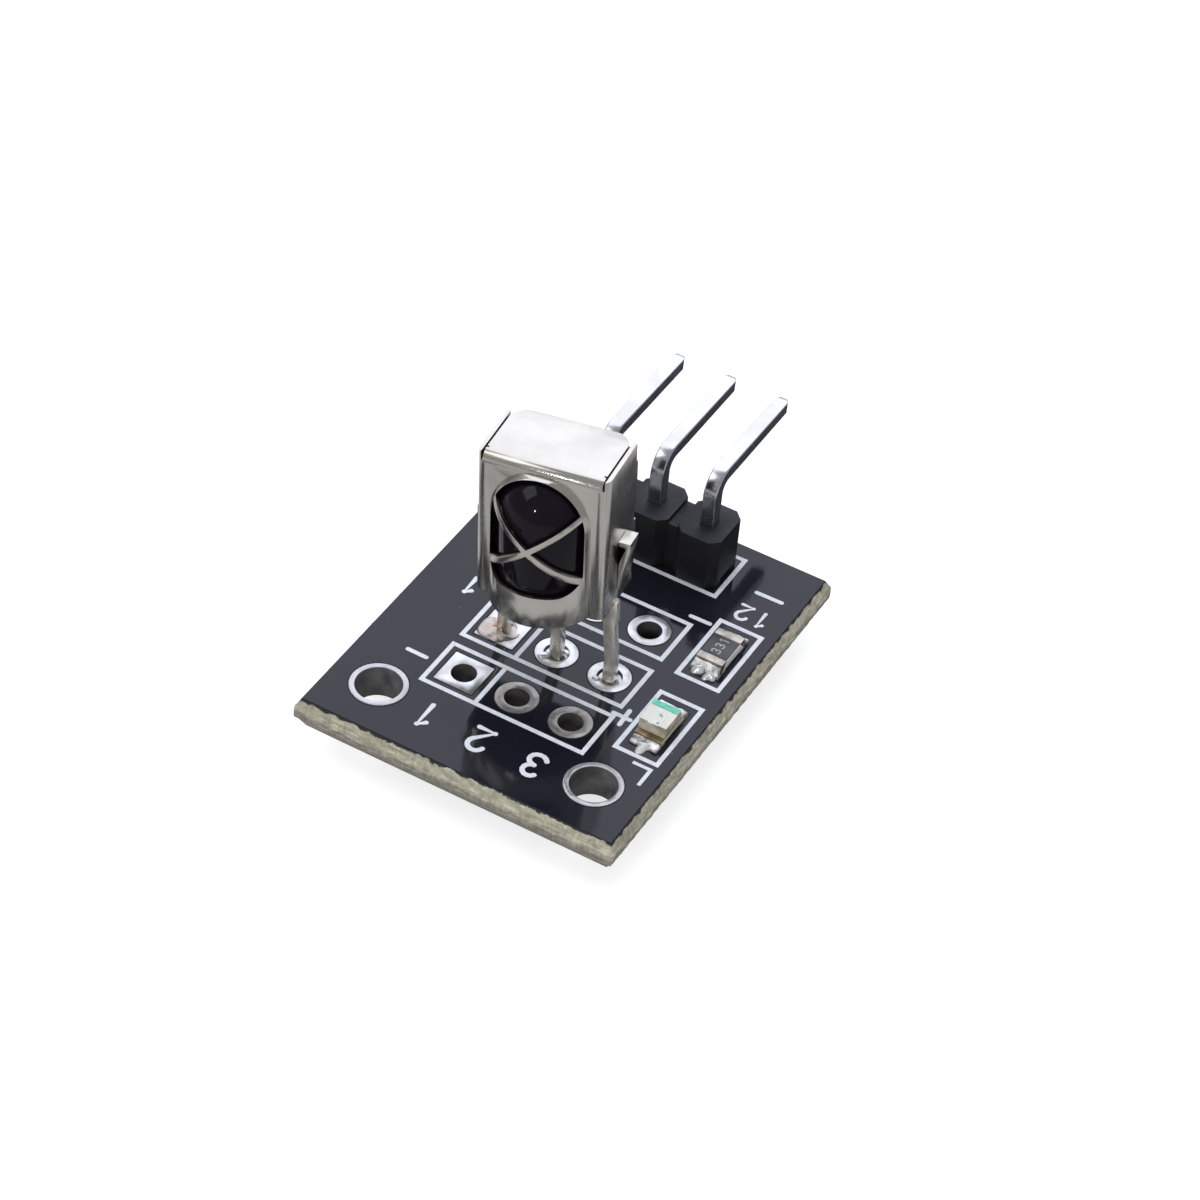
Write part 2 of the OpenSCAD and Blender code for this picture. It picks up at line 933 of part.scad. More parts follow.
module led_lens() {
    // Clear block with a slope at each end
    color("#f2ecd4")
        difference() {
            translate([chip_x - chip_w / 2, led_y, chip_z + led_base_h])
                rotate([90, 0, 90])
                    linear_extrude(chip_w)
                        polygon([
                            [-lens_l / 2, -terminal_t], [lens_l / 2, -terminal_t],
                            [lens_l / 2 - lens_slope, led_h - led_base_h],
                            [-lens_l / 2 + lens_slope, led_h - led_base_h]
                        ]);
            translate([chip_x - die_w / 2, led_y - die_w / 2, chip_z + led_base_h - terminal_t - eps])
                cube([die_w, die_w, die_h + eps]);
            led_terminal_blocks();
        }
}

module led_mark() {
    // Green bar across the rear end of the lens
    color("#2f9e6e")
        translate([chip_x - chip_w / 2, led_y + lens_l / 2 - lens_slope - mark_l, chip_z + led_h])
            cube([chip_w, mark_l, print_t]);
}

module led_terminal_blocks() {
    at_chip_ends(led_y)
        translate([-chip_w / 2, -chip_l / 2, chip_z])
            cube([chip_w, terminal_l, led_base_h]);
}

module led_terminals() {
    color("#d6c48a")
        difference() {
            led_terminal_blocks();
            translate([chip_x - chip_w, led_y - chip_l / 2 + terminal_t, chip_z + terminal_t])
                cube([2 * chip_w, chip_l - 2 * terminal_t, led_base_h - 2 * terminal_t]);
        }
}

circuit_board();
solder_mask_top();
solder_mask_bottom();
printed_outlines();
hole_plating(-1);  // hole_plating_left
hole_plating(1);  // hole_plating_right
plated_pad(1, row_front_y);  // front_pad_1
plated_pad(2, row_front_y);  // front_pad_2
plated_pad(3, row_front_y);  // front_pad_3
plated_pad(1, row_receiver_y);  // receiver_pad_1
plated_pad(2, row_receiver_y);  // receiver_pad_2
plated_pad(3, row_receiver_y);  // receiver_pad_3
plated_pad(1, row_rear_y);  // rear_pad_1
plated_pad(2, row_rear_y);  // rear_pad_2
plated_pad(3, row_rear_y);  // rear_pad_3
plated_pad(1, header_y);  // header_pad_1
plated_pad(2, header_y);  // header_pad_2
plated_pad(3, header_y);  // header_pad_3
header_housing();
header_pin(1);  // header_pin_1
header_pin(2);  // header_pin_2
header_pin(3);  // header_pin_3
header_solder(1);  // header_solder_1
header_solder(2);  // header_solder_2
header_solder(3);  // header_solder_3
receiver_body();
receiver_shield();
receiver_lead(1);  // receiver_lead_1
receiver_lead(2);  // receiver_lead_2
receiver_lead(3);  // receiver_lead_3
receiver_solder(1);  // receiver_solder_1
receiver_solder(2);  // receiver_solder_2
receiver_solder(3);  // receiver_solder_3
resistor_core();
resistor_glaze();
resistor_terminals();
chip_lands(resistor_y);  // resistor_lands
chip_solder(resistor_y, resistor_h);  // resistor_solder
led_base();
led_lens();
led_chip();
led_mark();
led_terminals();
chip_lands(led_y);  // led_lands
chip_solder(led_y, led_base_h);  // led_solder
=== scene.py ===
import math
from typing import NamedTuple

import bmesh
import bpy
from mathutils import Matrix, Vector, noise


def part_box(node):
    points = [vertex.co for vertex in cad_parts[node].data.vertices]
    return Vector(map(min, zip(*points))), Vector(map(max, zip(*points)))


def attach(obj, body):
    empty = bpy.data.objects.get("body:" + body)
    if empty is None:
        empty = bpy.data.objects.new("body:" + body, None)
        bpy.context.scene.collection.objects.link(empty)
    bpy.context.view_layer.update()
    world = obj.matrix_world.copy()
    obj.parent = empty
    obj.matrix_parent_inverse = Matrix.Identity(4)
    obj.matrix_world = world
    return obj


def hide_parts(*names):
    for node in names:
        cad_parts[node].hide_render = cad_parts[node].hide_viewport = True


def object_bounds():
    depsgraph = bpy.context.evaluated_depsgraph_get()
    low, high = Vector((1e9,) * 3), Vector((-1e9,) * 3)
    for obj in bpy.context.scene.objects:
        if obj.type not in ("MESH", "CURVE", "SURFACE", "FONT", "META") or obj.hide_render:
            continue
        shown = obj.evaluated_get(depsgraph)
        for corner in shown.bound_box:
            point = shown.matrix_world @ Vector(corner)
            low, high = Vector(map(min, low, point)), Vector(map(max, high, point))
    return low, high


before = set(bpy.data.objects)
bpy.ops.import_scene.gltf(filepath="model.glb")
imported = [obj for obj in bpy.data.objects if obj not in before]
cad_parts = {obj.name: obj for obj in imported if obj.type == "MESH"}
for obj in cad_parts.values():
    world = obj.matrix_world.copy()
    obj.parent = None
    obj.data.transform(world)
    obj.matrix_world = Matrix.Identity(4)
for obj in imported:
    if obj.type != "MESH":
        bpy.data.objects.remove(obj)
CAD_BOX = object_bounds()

bl_info = {
    "name": "Infrared receiver module",
    "version": (1, 0, 0),
    "blender": (4, 5, 0),
    "location": "3D View > Sidebar > Module",
    "description": "Finishes, printed marks, solder and studio of a small infrared receiver module",
    "category": "Object",
}

MM = 0.001
ROOT = "root"
BOARD_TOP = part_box("solder_mask_top")[1].z
BOARD_LOW, BOARD_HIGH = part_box("circuit_board")
FLOOR_Z = CAD_BOX[0].z


# Settings


def number_setting(name, description, default, high, low=0.0, **extra):
    """A number that the panel shows."""
    return bpy.props.FloatProperty(
        name=name, description=description, default=default, min=low, max=high, **extra
    )


def length_setting(name, description, default, low, high):
    """A length that the panel shows; the three values are given in millimetres."""
    return number_setting(name, description, default * MM, high * MM, low * MM, precision=6, unit="LENGTH")


def colour_setting(name, description, default):
    """A colour that the panel shows."""
    return bpy.props.FloatVectorProperty(
        name=name, description=description, default=default, min=0, max=1, size=3, subtype="COLOR"
    )


class StageSettings(bpy.types.PropertyGroup):
    """Camera and light of the studio"""

    lens: number_setting("Lens", "Focal length of the camera", 114.03, 300, low=20, unit="CAMERA")
    sweep: number_setting("Rear softbox", "Brightness of the large softbox behind the object", 1.7, 5)
    overhead: number_setting("Overhead softbox", "Brightness of the softbox above the object", 2.3, 5)
    side: number_setting("Side softbox", "Brightness of the small softbox on the left", 2.2, 5)
    front: number_setting("Front fill", "Brightness of the fill from the front", 1.0, 5)
    small: number_setting("Small lamp", "Brightness of the lamp that makes the dot in the lens", 240.0, 1000)
    room: number_setting("Room light", "Brightness of the room, which also shows in reflections", 0.40, 2)
    floor_glow: number_setting("Floor lift", "Light added to the floor where the camera sees it", 0.76, 1)
    floor_mirror: number_setting("Floor in metal", "Share of that light which reflections see", 0.22, 1)


class InkSettings(bpy.types.PropertyGroup):
    """White print on the board"""

    stroke: length_setting("Stroke", "Width of a printed stroke", 0.2, 0.05, 1.0)
    thickness: length_setting("Thickness", "Thickness of the ink", 0.02, 0.005, 0.1)
    colour: colour_setting("Ink", "Colour of the ink", (0.64, 0.67, 0.72))


class FinishSettings(bpy.types.PropertyGroup):
    """Colours of the finishes"""

    mask: colour_setting("Solder mask", "Colour of the lacquer on the board", (0.008, 0.008, 0.013))
    laminate: colour_setting("Laminate", "Colour of the cut glass-fibre laminate", (0.49, 0.465, 0.36))
    # The web colour is partly the snapped web's own tone and partly painted shade on the lower, downward-facing
    # half of the edge
    web_and_shade: colour_setting("Snapped web", "Colour of the rough web below the score", (0.35, 0.32, 0.27))
    shield: colour_setting("Shield", "Colour of the shield's plated sheet", (0.545, 0.52, 0.475))
    plastic: colour_setting("Header plastic", "Colour of the header's body", (0.010, 0.010, 0.014))
    glow: colour_setting("LED lens", "Colour of the LED's milky lens", (0.68, 0.69, 0.62))


class EdgeSettings(bpy.types.PropertyGroup):
    """Rough web where the board was snapped off its panel"""

    roughness: length_setting("Roughness", "Depth of the web's relief", 0.06, 0.0, 0.2)
    fibres: bpy.props.IntProperty(
        name="Fibres", description="Number of broken fibres on each side", default=260, min=0, max=2000
    )
    fibre_length: length_setting("Fibre length", "Length of a broken fibre", 0.06, 0.01, 0.5)


# Shader groups


def shader_group(name, inputs, outputs):
    """An empty shader group with the named sockets; returns its tree and its two end nodes."""
    tree = bpy.data.node_groups.new(name, "ShaderNodeTree")
    for label, kind, default in inputs:
        socket = tree.interface.new_socket(label, in_out="INPUT", socket_type=kind)
        socket.default_value = default
    for label, kind in outputs:
        tree.interface.new_socket(label, in_out="OUTPUT", socket_type=kind)
    return tree, tree.nodes.new("NodeGroupInput"), tree.nodes.new("NodeGroupOutput")


def node(tree, kind, inputs=None, **settings):
    """A node with its settings and unlinked inputs."""
    made = tree.nodes.new(kind)
    for key, value in settings.items():
        setattr(made, key, value)
    for key, value in (inputs or {}).items():
        made.inputs[key].default_value = value
    return made


def surface_variation():
    """Soft patches of two colours, uneven gloss and a fine grain, on Object coordinates."""
    if "Surface variation" in bpy.data.node_groups:
        return bpy.data.node_groups["Surface variation"]
    tree, start, end = shader_group(
        "Surface variation",
        [
            ("Color A", "NodeSocketColor", (0.5, 0.5, 0.5, 1)),
            ("Color B", "NodeSocketColor", (0.5, 0.5, 0.5, 1)),
            ("Patch Scale", "NodeSocketFloat", 500.0),
            ("Roughness Low", "NodeSocketFloat", 0.3),
            ("Roughness High", "NodeSocketFloat", 0.5),
            ("Grain Scale", "NodeSocketFloat", 8000.0),
        ],
        [
            ("Color", "NodeSocketColor"), ("Roughness", "NodeSocketFloat"),
            ("Height", "NodeSocketFloat"),
        ],
    )
    link = tree.links.new
    place = node(tree, "ShaderNodeTexCoord")
    patches = node(tree, "ShaderNodeTexNoise", {"Detail": 3.0, "Roughness": 0.55})
    spread = node(tree, "ShaderNodeMapRange", {"From Min": 0.36, "From Max": 0.64})
    tint = node(tree, "ShaderNodeMix", data_type="RGBA")
    gloss = node(tree, "ShaderNodeTexNoise", {"Detail": 4.0, "Roughness": 0.6})
    gloss_scale = node(tree, "ShaderNodeMath", {1: 2.3}, operation="MULTIPLY")
    gloss_range = node(tree, "ShaderNodeMapRange", {"From Min": 0.3, "From Max": 0.7})
    grain = node(tree, "ShaderNodeTexNoise", {"Detail": 2.0})
    link(place.outputs["Object"], patches.inputs["Vector"])
    link(start.outputs["Patch Scale"], patches.inputs["Scale"])
    link(patches.outputs["Fac"], spread.inputs["Value"])
    link(spread.outputs["Result"], tint.inputs["Factor"])
    link(start.outputs["Color A"], tint.inputs["A"])
    link(start.outputs["Color B"], tint.inputs["B"])
    link(start.outputs["Patch Scale"], gloss_scale.inputs[0])
    link(gloss_scale.outputs[0], gloss.inputs["Scale"])
    link(place.outputs["Object"], gloss.inputs["Vector"])
    link(gloss.outputs["Fac"], gloss_range.inputs["Value"])
    link(start.outputs["Roughness Low"], gloss_range.inputs["To Min"])
    link(start.outputs["Roughness High"], gloss_range.inputs["To Max"])
    link(place.outputs["Object"], grain.inputs["Vector"])
    link(start.outputs["Grain Scale"], grain.inputs["Scale"])
    link(tint.outputs["Result"], end.inputs["Color"])
    link(gloss_range.outputs["Result"], end.inputs["Roughness"])
    link(grain.outputs["Fac"], end.inputs["Height"])
    return tree


def drawn_lines():
    """Fine lines that run one way, such as the marks of rolling or drawing metal."""
    if "Drawn lines" in bpy.data.node_groups:
        return bpy.data.node_groups["Drawn lines"]
    tree, start, end = shader_group(
        "Drawn lines",
        [("Stretch", "NodeSocketVector", (1.0, 1.0, 1.0)), ("Scale", "NodeSocketFloat", 9000.0)],
        [("Height", "NodeSocketFloat")],
    )
    link = tree.links.new
    place = node(tree, "ShaderNodeTexCoord")
    stretch = node(tree, "ShaderNodeMapping")
    lines = node(tree, "ShaderNodeTexNoise", {"Detail": 3.0, "Roughness": 0.6})
    link(place.outputs["Object"], stretch.inputs["Vector"])
    link(start.outputs["Stretch"], stretch.inputs["Scale"])
    link(stretch.outputs["Vector"], lines.inputs["Vector"])
    link(start.outputs["Scale"], lines.inputs["Scale"])
    link(lines.outputs["Fac"], end.inputs["Height"])
    return tree


def dust_specks():
    """Sparse pale specks over a base colour."""
    if "Dust specks" in bpy.data.node_groups:
        return bpy.data.node_groups["Dust specks"]
    tree, start, end = shader_group(
        "Dust specks",
        [
            ("Base", "NodeSocketColor", (0.0, 0.0, 0.0, 1)),
            ("Dust", "NodeSocketColor", (0.3, 0.3, 0.3, 1)),
            ("Scale", "NodeSocketFloat", 2500.0),
            ("Size", "NodeSocketFloat", 0.12),
            ("Share", "NodeSocketFloat", 0.05),
        ],
        [("Color", "NodeSocketColor")],
    )
    link = tree.links.new
    place = node(tree, "ShaderNodeTexCoord")
    cells = node(tree, "ShaderNodeTexVoronoi", {"Randomness": 1.0}, feature="F1")
    near = node(tree, "ShaderNodeMath", operation="LESS_THAN")
    rare = node(tree, "ShaderNodeMath", operation="LESS_THAN")
    split = node(tree, "ShaderNodeSeparateColor")
    both = node(tree, "ShaderNodeMath", operation="MULTIPLY")
    tint = node(tree, "ShaderNodeMix", data_type="RGBA")
    link(place.outputs["Object"], cells.inputs["Vector"])
    link(start.outputs["Scale"], cells.inputs["Scale"])
    link(cells.outputs["Distance"], near.inputs[0])
    link(start.outputs["Size"], near.inputs[1])
    link(cells.outputs["Color"], split.inputs[0])
    link(split.outputs[0], rare.inputs[0])
    link(start.outputs["Share"], rare.inputs[1])
    link(near.outputs[0], both.inputs[0])
    link(rare.outputs[0], both.inputs[1])
    link(both.outputs[0], tint.inputs["Factor"])
    link(start.outputs["Base"], tint.inputs["A"])
    link(start.outputs["Dust"], tint.inputs["B"])
    link(tint.outputs["Result"], end.inputs["Color"])
    return tree


def laminate_layers():
    """Edge of a glass-fibre laminate: a pale scored band over a darker web, with layers and fibres; the darker
    web below the split is partly its own tone and partly painted shade.
    """
    if "Laminate layers" in bpy.data.node_groups:
        return bpy.data.node_groups["Laminate layers"]
    tree, start, end = shader_group(
        "Laminate layers",
        [
            ("Scored", "NodeSocketColor", (0.5, 0.46, 0.33, 1)),
            ("Snapped And Shaded", "NodeSocketColor", (0.3, 0.25, 0.2, 1)),
            ("Lacquer", "NodeSocketColor", (0.02, 0.02, 0.02, 1)),
            ("Split Height", "NodeSocketFloat", 0.0008),
            ("Rim Height", "NodeSocketFloat", 0.0015),
            ("Layer Scale", "NodeSocketFloat", 1700.0),
        ],
        [("Color", "NodeSocketColor"), ("Height", "NodeSocketFloat")],
    )
    link = tree.links.new
    place = node(tree, "ShaderNodeTexCoord")
    axes = node(tree, "ShaderNodeSeparateXYZ")
    ragged = node(tree, "ShaderNodeTexNoise", {"Scale": 1900.0, "Detail": 4.0, "Roughness": 0.65})
    ragged_size = node(tree, "ShaderNodeMapRange", {"To Min": -0.00022, "To Max": 0.00022})
    level = node(tree, "ShaderNodeMath", operation="ADD")
    below = node(tree, "ShaderNodeMath", operation="SUBTRACT")
    share = node(tree, "ShaderNodeMapRange", {"From Min": -0.00005, "From Max": 0.00005})
    rim = node(tree, "ShaderNodeMath", operation="SUBTRACT")
    rim_share = node(tree, "ShaderNodeMapRange", {"From Min": -0.00003, "From Max": 0.00002})
    facing = node(tree, "ShaderNodeNewGeometry")
    split = node(tree, "ShaderNodeSeparateXYZ")
    level_face = node(tree, "ShaderNodeMath", operation="ABSOLUTE")
    flat_face = node(tree, "ShaderNodeMath", {1: 0.93}, operation="GREATER_THAN")
    coated = node(tree, "ShaderNodeMath", operation="MAXIMUM")
    coat = node(tree, "ShaderNodeMix", data_type="RGBA")
    flat = node(tree, "ShaderNodeMapping", {"Scale": (1.0, 1.0, 4.5)})
    layers = node(tree, "ShaderNodeTexNoise", {"Detail": 3.0, "Roughness": 0.6})
    upright = node(tree, "ShaderNodeMapping", {"Scale": (1.0, 1.0, 0.12)})
    fibres = node(tree, "ShaderNodeTexNoise", {"Scale": 7000.0, "Detail": 2.0})
    tint = node(tree, "ShaderNodeMix", data_type="RGBA")
    middle = {"From Min": 0.3, "From Max": 0.7}
    shade = node(tree, "ShaderNodeMapRange", {**middle, "To Min": 0.62, "To Max": 1.2})
    shade_two = node(tree, "ShaderNodeMapRange", {**middle, "To Min": 0.8, "To Max": 1.15})
    product = node(tree, "ShaderNodeMath", operation="MULTIPLY")
    colour = node(tree, "ShaderNodeVectorMath", operation="SCALE")
    sum_height = node(tree, "ShaderNodeMath", operation="ADD")
    link(place.outputs["Object"], axes.inputs[0])
    link(place.outputs["Object"], ragged.inputs["Vector"])
    link(ragged.outputs["Fac"], ragged_size.inputs["Value"])
    link(axes.outputs["Z"], level.inputs[0])
    link(ragged_size.outputs["Result"], level.inputs[1])
    link(level.outputs[0], below.inputs[0])
    link(start.outputs["Split Height"], below.inputs[1])
    link(below.outputs[0], share.inputs["Value"])
    # Below the split height the darker web colour takes over: partly the web's own tone, partly painted shade
    link(share.outputs["Result"], tint.inputs["Factor"])
    link(start.outputs["Snapped And Shaded"], tint.inputs["A"])
    link(start.outputs["Scored"], tint.inputs["B"])
    link(place.outputs["Object"], flat.inputs["Vector"])
    link(flat.outputs["Vector"], layers.inputs["Vector"])
    link(start.outputs["Layer Scale"], layers.inputs["Scale"])
    link(place.outputs["Object"], upright.inputs["Vector"])
    link(upright.outputs["Vector"], fibres.inputs["Vector"])
    link(layers.outputs["Fac"], shade.inputs["Value"])
    link(fibres.outputs["Fac"], shade_two.inputs["Value"])
    link(shade.outputs["Result"], product.inputs[0])
    link(shade_two.outputs["Result"], product.inputs[1])
    link(tint.outputs["Result"], colour.inputs[0])
    link(product.outputs[0], colour.inputs["Scale"])
    link(layers.outputs["Fac"], sum_height.inputs[0])
    link(fibres.outputs["Fac"], sum_height.inputs[1])
    link(level.outputs[0], rim.inputs[0])
    link(start.outputs["Rim Height"], rim.inputs[1])
    link(rim.outputs[0], rim_share.inputs["Value"])
    link(facing.outputs["Normal"], split.inputs[0])
    link(split.outputs["Z"], level_face.inputs[0])
    link(level_face.outputs[0], flat_face.inputs[0])
    link(rim_share.outputs["Result"], coated.inputs[0])
    link(flat_face.outputs[0], coated.inputs[1])
    link(coated.outputs[0], coat.inputs["Factor"])
    link(colour.outputs["Vector"], coat.inputs["A"])
    link(start.outputs["Lacquer"], coat.inputs["B"])
    link(coat.outputs["Result"], end.inputs["Color"])
    link(sum_height.outputs[0], end.inputs["Height"])
    return tree


# Materials


def new_material(name):
    """A material with only its Principled shader and output."""
    made = bpy.data.materials.new(name)
    made.use_nodes = True
    return made, made.node_tree, made.node_tree.nodes["Principled BSDF"]


def place_group(tree, group, values):
    made = tree.nodes.new("ShaderNodeGroup")
    made.node_tree = group
    for key, value in values.items():
        made.inputs[key].default_value = value
    return made


def add_bump(tree, shader, height, distance):
    bump = node(tree, "ShaderNodeBump", {"Strength": 1.0, "Distance": distance})
    tree.links.new(height, bump.inputs["Height"])
    tree.links.new(bump.outputs["Normal"], shader.inputs["Normal"])
    return bump


def rgba(colour, factor=1.0):
    return tuple(min(1.0, c * factor) for c in colour[:3]) + (1.0,)


class Finish(NamedTuple):
    """Patches of two colours, uneven gloss, a fine grain, and drawn lines where the metal has them"""

    colour: tuple
    other: tuple
    patch: float
    rough: tuple
    grain: float
    depth: float
    metallic: float = 0.0
    lines: tuple = None
    line_depth: float = 0.0
    sockets: tuple = ()


# Scales of patch, grain and lines are per metre, and depths are in metres. Rough is the lowest and the
# highest roughness. A first colour of None comes from the settings.
FINISHES = {
    "bright_pad": Finish(
        (0.66, 0.66, 0.67), (0.52, 0.515, 0.51), patch=1300, rough=(0.34, 0.5), grain=2500, depth=8e-6,
        metallic=1, lines=((1, 1, 1), 1500), line_depth=12e-6,
    ),
    # A darker copy of the pad tin, for the front pads 2 and 3: painted reflection of the dark receiver
    "dull_pad": Finish(
        (0.42, 0.40, 0.37), (0.31, 0.295, 0.275), patch=1300, rough=(0.34, 0.55), grain=5000, depth=10e-6,
        metallic=1, lines=((1, 1, 1), 2100), line_depth=12e-6,
    ),
    "ring_plating": Finish(
        (0.46, 0.45, 0.46), (0.36, 0.35, 0.36), patch=700, rough=(0.28, 0.45), grain=6000, depth=8e-6,
        metallic=1,
    ),
    # A darker copy of the ring plating, for the walls of the mounting holes: painted shade inside the holes
    "hole_wall": Finish(
        (0.22, 0.215, 0.22), (0.10, 0.097, 0.10), patch=1100, rough=(0.35, 0.5), grain=3000, depth=10e-6,
        metallic=0.4, lines=((1, 1, 0.08), 3200), line_depth=10e-6,
    ),
    # A darker copy of the pad plating, for the upright walls of the pads: painted shade in the bores
    "pad_bore": Finish(
        (0.13, 0.115, 0.12), (0.07, 0.062, 0.065), patch=1400, rough=(0.3, 0.45), grain=3000, depth=10e-6,
        metallic=0.3,
    ),
    "glass_fibre": Finish(
        (0.70, 0.68, 0.58), (0.50, 0.47, 0.38), patch=3000, rough=(0.3, 0.5), grain=9000, depth=1e-6,
    ),
    "header_plastic": Finish(
        None, (0.015, 0.015, 0.019), patch=420, rough=(0.42, 0.58), grain=2500, depth=4e-6,
        sockets=(("Specular IOR Level", 0.32),),
    ),
    "pin_tin": Finish(
        (0.57, 0.57, 0.61), (0.50, 0.495, 0.51), patch=700, rough=(0.16, 0.28), grain=1500, depth=2e-6,
        metallic=1, lines=((1, 0.05, 1), 5000), line_depth=1.2e-6,
    ),
    "shield_plating": Finish(
        None, (0.48, 0.455, 0.41), patch=420, rough=(0.20, 0.29), grain=420, depth=6e-6,
        metallic=1,
    ),
    "dark_epoxy": Finish(
        (0.004, 0.003, 0.006), (0.007, 0.005, 0.009), patch=500, rough=(0.07, 0.10), grain=2500, depth=0.8e-6,
        sockets=(("Specular IOR Level", 0.16),),
    ),
    "lead_tin": Finish(
        (0.84, 0.80, 0.72), (0.68, 0.63, 0.54), patch=900, rough=(0.25, 0.36), grain=1000, depth=4e-6,
        metallic=0.85,
    ),
    "bright_solder": Finish(
        (0.80, 0.80, 0.82), (0.60, 0.59, 0.59), patch=1100, rough=(0.3, 0.42), grain=1200, depth=5e-6,
        metallic=0.75,
    ),
    # Near-white and near-black patches on the chip solder: painted highlights and painted dark reflections
    "blotched_solder": Finish(
        (0.96, 0.95, 0.94), (0.10, 0.09, 0.08), patch=2100, rough=(0.3, 0.45), grain=1500, depth=8e-6,
        metallic=0.35,
    ),
    "fluxed_solder": Finish(
        (0.44, 0.42, 0.41), (0.36, 0.31, 0.28), patch=1300, rough=(0.26, 0.4), grain=1500, depth=10e-6,
        metallic=0.9,
    ),
    "amber_flux": Finish(
        (0.50, 0.27, 0.12), (0.34, 0.20, 0.11), patch=2500, rough=(0.12, 0.25), grain=2500, depth=6e-6,
    ),
    "tinned_land": Finish(
        (0.55, 0.53, 0.50), (0.35, 0.33, 0.29), patch=1400, rough=(0.2, 0.4), grain=4200, depth=10e-6,
        metallic=1,
    ),
    "chip_end": Finish(
        (0.46, 0.43, 0.38), (0.26, 0.23, 0.19), patch=1500, rough=(0.28, 0.45), grain=3200, depth=12e-6,
        metallic=1,
    ),
    "led_end": Finish(
        (0.42, 0.33, 0.20), (0.20, 0.15, 0.09), patch=2200, rough=(0.25, 0.4), grain=5000, depth=10e-6,
        metallic=1,
    ),
    "resistor_overcoat": Finish(
        (0.018, 0.018, 0.02), (0.03, 0.03, 0.033), patch=1200, rough=(0.2, 0.38), grain=5000, depth=6e-6,
    ),
    "ceramic": Finish(
        (0.80, 0.80, 0.77), (0.7, 0.7, 0.68), patch=1800, rough=(0.5, 0.7), grain=9000, depth=6e-6,
    ),
    "led_carrier": Finish(
        (0.70, 0.66, 0.52), (0.58, 0.54, 0.42), patch=1800, rough=(0.4, 0.6), grain=9000, depth=6e-6,
    ),
    "led_milk": Finish(
        None, (0.70, 0.71, 0.64), patch=1500, rough=(0.10, 0.22), grain=3500, depth=4e-6,
        sockets=(("Transmission Weight", 0.12),),
    ),
    "led_wall": Finish(
        (0.58, 0.55, 0.44), (0.30, 0.26, 0.18), patch=1700, rough=(0.15, 0.3), grain=3500, depth=4e-6,
    ),
    "green_bar": Finish(
        (0.05, 0.40, 0.27), (0.14, 0.55, 0.41), patch=2500, rough=(0.15, 0.3), grain=5000, depth=4e-6,
    ),
    "led_die": Finish(
        (0.30, 0.28, 0.30), (0.2, 0.19, 0.2), patch=6000, rough=(0.2, 0.3), grain=9000, depth=2e-6,
    ),
}


def skin_group(tree, look):
    """The surface variation of a finish, placed in a material."""
    return place_group(
        tree, surface_variation(),
        {
            "Color A": rgba(look.colour), "Color B": rgba(look.other), "Patch Scale": look.patch,
            "Roughness Low": look.rough[0], "Roughness High": look.rough[1], "Grain Scale": look.grain,
        },
    )


def made_of(name, look):
    """The material of a finish, made on its first use."""
    if name in bpy.data.materials:
        return bpy.data.materials[name]
    made, tree, shader = new_material(name)
    skin = skin_group(tree, look)
    tree.links.new(skin.outputs["Color"], shader.inputs["Base Color"])
    tree.links.new(skin.outputs["Roughness"], shader.inputs["Roughness"])
    shader.inputs["Metallic"].default_value = look.metallic
    bump = add_bump(tree, shader, skin.outputs["Height"], look.depth)
    if look.lines:
        stretch, scale = look.lines
        drawn = place_group(tree, drawn_lines(), {"Stretch": stretch, "Scale": scale})
        second = add_bump(tree, shader, drawn.outputs["Height"], look.line_depth)
        tree.links.new(bump.outputs["Normal"], second.inputs["Normal"])
    for socket, value in look.sockets:
        shader.inputs[socket].default_value = value
    return made


def varied(name, colour=None):
    """The material of a finish from the table; its first colour may come from the settings."""
    look = FINISHES[name]
    return made_of(name, look if colour is None else look._replace(colour=tuple(colour)))


def mask_material(name, colour):
    """Glossy lacquer with a faint orange peel and a few specks of dust."""
    if name in bpy.data.materials:
        return bpy.data.materials[name]
    made, tree, shader = new_material(name)
    paler = rgba(colour, 1.25)
    look = Finish(colour, paler, patch=260, rough=(0.05, 0.10), grain=1500, depth=1.2e-6)
    skin = skin_group(tree, look)
    dust = place_group(
        tree, dust_specks(), {"Dust": (0.16, 0.16, 0.17, 1), "Scale": 1900.0, "Size": 0.06, "Share": 0.03}
    )
    tree.links.new(skin.outputs["Color"], dust.inputs["Base"])
    tree.links.new(dust.outputs["Color"], shader.inputs["Base Color"])
    tree.links.new(skin.outputs["Roughness"], shader.inputs["Roughness"])
    shader.inputs["IOR"].default_value = 1.37
    add_bump(tree, shader, skin.outputs["Height"], look.depth)
    return made


def laminate_material(finish):
    """The cut edge of the board, scored above and snapped below; below the split the darker colour is partly
    painted shade.
    """
    name = "cut_laminate"
    if name in bpy.data.materials:
        return bpy.data.materials[name]
    made, tree, shader = new_material(name)
    # Below the split height the edge is darker: partly the web's tone, partly painted shade where the edge
    # faces down
    values = {"Scored": rgba(finish.laminate), "Snapped And Shaded": rgba(finish.web_and_shade), "Split Height": 0.95 * MM}
    edge = place_group(tree, laminate_layers(), values)
    tree.links.new(edge.outputs["Color"], shader.inputs["Base Color"])
    shader.inputs["Roughness"].default_value = 0.75
    add_bump(tree, shader, edge.outputs["Height"], 30e-6)
    return made


def ink_material(name, colour):
    """Screen-printed ink, a little uneven."""
    darker = rgba(colour, 0.86)
    return made_of(name, Finish(colour, darker, patch=3400, rough=(0.35, 0.55), grain=16000, depth=4e-6))


# Shapes

# Points of a CAD mesh closer than this are one, and faces that differ by less than this angle are one
SAME_POINT = 0.5e-6
SAME_PLANE = math.radians(0.4)
# Numbers of the pads, pins and leads in a row
PLACES = (1, 2, 3)


